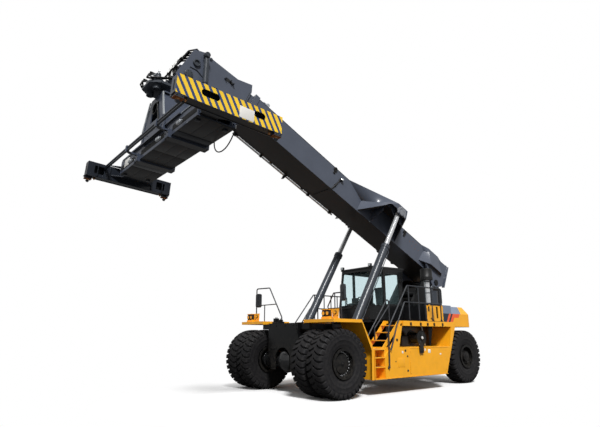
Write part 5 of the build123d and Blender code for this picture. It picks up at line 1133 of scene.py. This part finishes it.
hose_rubber = coated("black_hose_rubber", "#131313", 0.5, coat=0, worn=0, dusty=0.05, spec=0.3)
ride_piece("boom_head_hoses", hoses, hose_rubber, "telescope", place=boom_place)
ride_piece("boom_head_hose_guards", guards, hub_white, "telescope", place=boom_place)

# The spreader hangs from the yoke on a slewing ring. The yoke is slate; the ring, the trunk, the
# carriage and the sleeve are welded plate in blue-grey, made near black underneath by painted shade.
blue_grey_with_painted_shade = painted_shade_underneath("#414857", "#2c2c2d")
spreader_enamel = coated("blue_grey_spreader_enamel", blue_grey_with_painted_shade, 0.32, coat=0.25, spec=0.35)
finish_nodes(spreader_enamel, "rotator", "spreader_frame")
finish_nodes(slate_enamel, "tilt_yoke")
far_enamel = coated("navy_beam_enamel", "#1d222b", 0.32, coat=0.25, spec=0.35)
finish_nodes(far_enamel, "right_end_beam")


def hazard_stripes(tree, place):
    """Lemon and navy stripes on the outer face of the beam, leaning with the load's side."""
    # one pair of stripes every 165 mm, leaning 32 degrees from upright
    lean, pitch, lemon_share = 0.617, 0.1655, 0.58
    inputs = {"vector_type": "TEXTURE", 0: place, "Location": TILT_PIN, "Rotation": (0, -HANG_TILT, 0)}
    axes = axes_of(tree, add_node(tree, "Mapping", inputs).outputs[0])
    across = calc(tree, "MULTIPLY_ADD", axes["Z"], lean, lean * 1.766 + 1.191)
    pair = calc(tree, "DIVIDE", calc(tree, "SUBTRACT", across, axes["X"]), pitch)
    lemon = calc(tree, "LESS_THAN", calc(tree, "FRACT", pair), lemon_share)
    stripe = blend(tree, lemon, "#32456f", "#ffd22e")
    face = calc(tree, "GREATER_THAN", axes["Y"], 2.992)
    painted = calc(tree, "MULTIPLY", face, calc(tree, "GREATER_THAN", axes["Z"], -2.178))
    corner_block = calc(tree, "LESS_THAN", axes["Z"], -2.182)
    # the rest of the beam is blue-grey, darker on faces that look down as painted shade
    plain = blend(tree, corner_block, blue_grey_with_painted_shade(tree, place), "#2a2e36")
    return blend(tree, painted, plain, stripe)


stripe_enamel = coated("striped_beam_enamel", hazard_stripes, 0.3, coat=0.25, worn=0.3)
finish_nodes(stripe_enamel, "left_end_beam")

# A blank white placard is riveted between the stripes; the rust-brown wear plates, the lock
# heads and their guide pins show bare steel at the beam's corners.
placard = bmesh.new()
cuboid(placard, (-0.503, 2.999, -2.160), (-0.150, 3.004, -1.905), 0.003)
ride_piece("blank_placard", placard, blank_sign, "left_arm", place=hang_place)
rust = coated("rust_brown_wear_steel", "#8f4f1f", 0.6, coat=0, worn=0.4, dusty=0.0, spec=0.3)
copper = bare_metal("rubbed_lock_steel", "#c9925f", 0.4, metallic=0.7)
LOCK_X, LOCK_Y, BEAM_FOOT, BEAM_END = 1.1295, 2.9265, -2.252, 1.22
for side, sign in SIDES:
    wear, locks, blocks, holes = new_meshes(4)
    for end in (-1, 1):
        x = end * LOCK_X
        low, high = (x - 0.098, sign * 2.856, BEAM_FOOT), (x + 0.098, sign * 2.998, BEAM_FOOT + 0.010)
        cuboid(wear, low, high, 0.003)
        for dx in (-0.07, 0.07):
            for dy in (-0.05, 0.05):
                bolt(wear, (x + dx, sign * LOCK_Y + dy, BEAM_FOOT), DOWN, 0.011)
        lock = [(0, 0.045), (0.006, 0.045), (0.010, 0.036), (0.034, 0.0355)]
        lathe(locks, (x, sign * LOCK_Y, -2.248), DOWN, lock, 24)
        guide = [(0, 0.03), (0.03, 0.03), (0.036, 0.018), (0.055, 0.016), (0.055, 0)]
        lathe(locks, (x - end * 0.16, sign * 2.90, -2.185), DOWN, guide, 18)
        for dx in (-0.055, 0.055):
            bolt(blocks, (x + dx, sign * 2.9995, -2.21), (0, sign, 0), 0.014)
        cuboid(blocks, (x - 0.115, sign * 2.83, -2.184), (x + 0.115, sign * 3.001, -2.168), 0.004)
        # a long slot in the closing plate at each end of the beam, drawn as a thin near-black sheet of
        # painted shade
        slot = rounded_ring((sign * 2.875, -1.97), (0, 0.09), (0.028, 0.028), 20)
        slab(holes, slot, 0, end * BEAM_END - 0.0005, end * (BEAM_END + 0.0015))
    # edge flanges and gussets on the beam's underside and inner face
    for x in (-0.95, -0.62, 0.62, 0.95):
        cuboid(blocks, (x - 0.008, sign * 2.70, -2.17), (x + 0.008, sign * 2.752, -1.80), 0.002)
    cuboid(blocks, (-1.20, sign * 2.752, -2.192), (1.20, sign * 2.772, -2.178), 0.002)
    cuboid(blocks, (-0.95, sign * 2.985, -2.192), (0.95, sign * 2.999, -2.178), 0.002)
    for part, bm, material, slot in (
        ("wear_plates", wear, rust, "boom_paint"), ("lock_collars_and_guides", locks, copper, "silver_steel"),
        ("beam_gussets_and_bolts", blocks, far_enamel, "dark_paint"),
        ("beam_end_slots", holes, painted_hole_shade, "black_paint"),
    ):
        ride_piece(f"{side}_{part}", bm, material, f"{side}_arm", place=hang_place)

# Under the sleeve, pressed cover panels are screwed on between the belts. Bright stops, sensors
# and guide rollers stand on its front edge.
under, edging, recess, plate, bright = new_meshes(5)
PANEL_LOW, PANEL_HIGH = -2.096, -2.088
for y0, y1 in ((-2.33, -1.44), (-0.82, -0.02), (0.02, 0.82), (1.44, 2.33)):
    for x0, x1 in ((-0.43, -0.16), (-0.145, 0.145), (0.16, 0.43)):
        cuboid(under, (x0, y0, PANEL_LOW), (x1, y1, PANEL_HIGH), 0.003)
for y in (-2.18, 2.18):
    for x in (-0.30, 0.36):
        cuboid(edging, (x - 0.05, y - 0.05, -2.135), (x + 0.05, y + 0.05, PANEL_HIGH), 0.012)
for y in (-1.24, 1.24):
    cuboid(edging, (-0.44, y - 0.15, -2.100), (0.44, y + 0.15, PANEL_HIGH), 0.004)
for y in (-1.02, -0.88, 0.88, 1.02):
    for sign in (-1, 1):
        bolt(edging, (sign * 0.52, y, -2.02), (sign, 0, 0), 0.016)
        bolt(edging, (sign * 0.49, y, -2.14), DOWN, 0.014)
# the cover panels face down and are coloured dark grey as painted shade
panel_enamel = coated("dark_cover_panel_enamel", "#3a3a3b", 0.42, coat=0.05, dusty=0.05, spec=0.3)
ride_piece("sleeve_cover_panels", under, panel_enamel, "spreader", place=hang_place)
ride_piece("sleeve_blocks_and_bolts", edging, far_enamel, "spreader", place=hang_place)
# the cable recesses on the sleeve's sides are thin near-black strips of painted shade
for y0, y1 in ((-2.30, -1.10), (-0.80, 0.80), (1.10, 2.30)):
    for sign in (-1, 1):
        cuboid(recess, (sign * 0.448, y0, -2.00), (sign * 0.4525, y1, -1.86), 0.001)
ride_piece("sleeve_cable_recesses", recess, painted_hole_shade, "spreader", place=hang_place)
cuboid(plate, (0.452, -2.02, -1.98), (0.462, -1.68, -1.76), 0.003)
ride_piece("sleeve_blank_plate", plate, blank_sign, "spreader", place=hang_place)
for y in (-1.35, 0.48, 1.62):
    cuboid(bright, (0.50, y - 0.09, -2.045), (0.56, y + 0.09, -1.975), 0.010)
    rod(bright, (0.53, y + 0.09, -2.01), (0.53, y + 0.16, -2.01), 0.014, 10)
pipe_run(bright, [(0.47, -2.2, -1.705), (0.47, -1.6, -1.705), (0.50, -1.52, -1.70)], 0.014, 10)
pipe_run(bright, [(0.462, 1.52, -1.72), (0.462, 2.3, -1.72)], 0.012, 10)
ride_piece("sleeve_front_sensors", bright, pipe_silver, "spreader", place=hang_place)

# Two slewing motors with brake packs stand on the yoke's shelf; cast cases, ported blocks, bolts
# and short hoses that loop back to the yoke's legs. Bolts ring the slewing bearing.
MOTOR_X, PORT_Z = 0.65, -0.235
motors, motor_hose, ports = new_meshes(3)
for y in (-0.215, 0.215):
    for radius, z, count in ((0.128, -0.395, 12), (0.092, -0.275, 8)):
        bolt_ring(motors, (MOTOR_X, y, z), UP, radius, count, 0.011)
    for z, sides, profile in (
        (-0.40, 32, [(0, 0.15), (0.03, 0.15), (0.034, 0.146), (0.034, 0.10)]),
        (-0.32, 32, [(0, 0.108), (0.016, 0.111), (0.03, 0.108)]),
        (-0.225, 24, [(0, 0.062), (0.05, 0.058), (0.062, 0.04), (0.062, 0)]),
        (-0.61, 24, [(0, 0), (0, 0.08), (0.11, 0.09)]),
    ):
        lathe(motors, (MOTOR_X, y, z), UP, profile, sides)
    cuboid(motors, (0.60, y - 0.06, -0.26), (0.74, y + 0.06, -0.215), 0.008)
    for shift in (-0.035, 0.035):
        at = y + shift
        rod(ports, (0.72, at, PORT_Z), (0.80, at, PORT_Z), 0.017, 10)
        lathe(ports, (0.755, at, PORT_Z), AHEAD, [(0, 0.024), (0.02, 0.024), (0.02, 0.016)], 6)
        pipe_run(motor_hose, [
            (0.80, at, PORT_Z), (0.87, y + shift * 1.5, -0.25), (0.90, y + shift * 2, -0.35),
            (0.84, y * 1.35 + shift, -0.40), (0.62, y * 1.75 + shift, -0.36), (0.35, y * 1.8, -0.24),
            (0.22, y * 1.7, -0.30),
        ], 0.022, 10)
    breather = [(0, 0.03), (0.03, 0.03), (0.03, 0.02), (0.07, 0.02), (0.07, 0.026), (0.09, 0.024), (0.09, 0)]
    lathe(ports, (MOTOR_X, y, -0.165), UP, breather, 12)
bolt_ring(motors, (0, 0, -0.44), UP, 0.455, 28, 0.014)
cuboid(motors, (0.40, -0.06, -0.44), (0.56, 0.06, -0.33), 0.010)
for y in (-0.30, 0.30):
    rod(ports, (0.45, y, -0.44), (0.45, y, -0.36), 0.022, 12)
ride_piece("slewing_motors_detail", motors, slate_enamel, "yoke", place=hang_place)
ride_piece("slewing_motor_ports", ports, zinc, "yoke", place=hang_place)
ride_piece("slewing_motor_hoses", motor_hose, hose_rubber, "yoke", place=hang_place)
trunk, trunk_hose, light = new_meshes(3)
CARRIAGE_SIDE = 0.531
duct = ((0.36, -0.70), (0.43, -0.70), (0.70, -1.44), (0.63, -1.44))
bolt_ring(trunk, (0, 0, -0.61), DOWN, 0.435, 24, 0.014)
for sign in (-1, 1):
    # ribs on the carriage plates and the bolts along their feet
    for y in (-0.55, 0.55):
        low, high = (sign * CARRIAGE_SIDE, y - 0.012, -1.74), (sign * 0.548, y + 0.012, -1.10)
        cuboid(trunk, low, high, 0.003)
    for y in (-0.62, -0.45, -0.28, 0.28, 0.45, 0.62):
        bolt(trunk, (sign * CARRIAGE_SIDE, y, -1.66), (sign, 0, 0), 0.016)
    # a ring of hose in the plate's window, and the light cable duct along its edge
    angles = [2 * math.pi * k / 24 for k in range(25)]
    pipe_run(trunk_hose, hoop((sign * 0.545, 0.02, -1.02), 0.15, angles, 0), 0.018, 10)
    drop = [(sign * 0.545, 0.17, -1.02), (sign * 0.55, 0.30, -1.30), (sign * 0.54, 0.40, -1.60)]
    pipe_run(trunk_hose, drop, 0.018, 10)
    for edge in (-1, 1):
        slab(light, [(edge * y, z) for y, z in duct], 0, sign * CARRIAGE_SIDE, sign * 0.552)
ride_piece("carriage_ribs_and_bolts", trunk, spreader_enamel, "carriage", place=hang_place)
ride_piece("carriage_hoses", trunk_hose, hose_rubber, "carriage", place=hang_place)
ride_piece("carriage_cable_ducts", light, pipe_silver, "carriage", place=hang_place)

# One free hydraulic hose hangs in a loop behind the sleeve between two glands. It is 28 mm
# rubber hose, given as y and the height above the twistlocks, and sags under its own weight.
HOSE_X, TWISTLOCK_Z = -0.482, -2.26
hose_points = (
    (1.360, 0.310), (1.360, 0.165), (1.435, 0.005), (1.575, -0.115), (1.765, -0.160),
    (1.955, -0.135), (2.120, -0.035), (2.235, 0.095), (2.290, 0.195), (2.290, 0.310),
)
hose_line = [hang_place @ Vector((HOSE_X, y, height + TWISTLOCK_Z)) for y, height in hose_points]
curve = bpy.data.curves.new("sleeve_hose_loop", "CURVE")
curve.dimensions = "3D"
curve.bevel_depth = 0.014
curve.bevel_resolution = 6
curve.resolution_u = 16
curve.use_fill_caps = True
line = curve.splines.new("NURBS")
line.points.add(len(hose_line) - 1)
for point, spot in zip(line.points, hose_line):
    point.co = (*spot, 1.0)
line.order_u = 3
line.use_endpoint_u = True
curve.materials.append(hose_rubber)
hose = put_in_scene("sleeve_hose_loop", curve)
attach(hose, "spreader")
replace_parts(hose, "sleeve_hose")
ferrules = bmesh.new()
shell = [(0, 0.026), (0.03, 0.026), (0.03, 0.021), (0.09, 0.019), (0.10, 0.0145)]
for spot in (hose_line[0], hose_line[-1]):
    lathe(ferrules, spot, hang_place.to_3x3() @ Vector(DOWN), shell, 6)
ride_piece("sleeve_hose_ferrules", ferrules, zinc, "spreader")
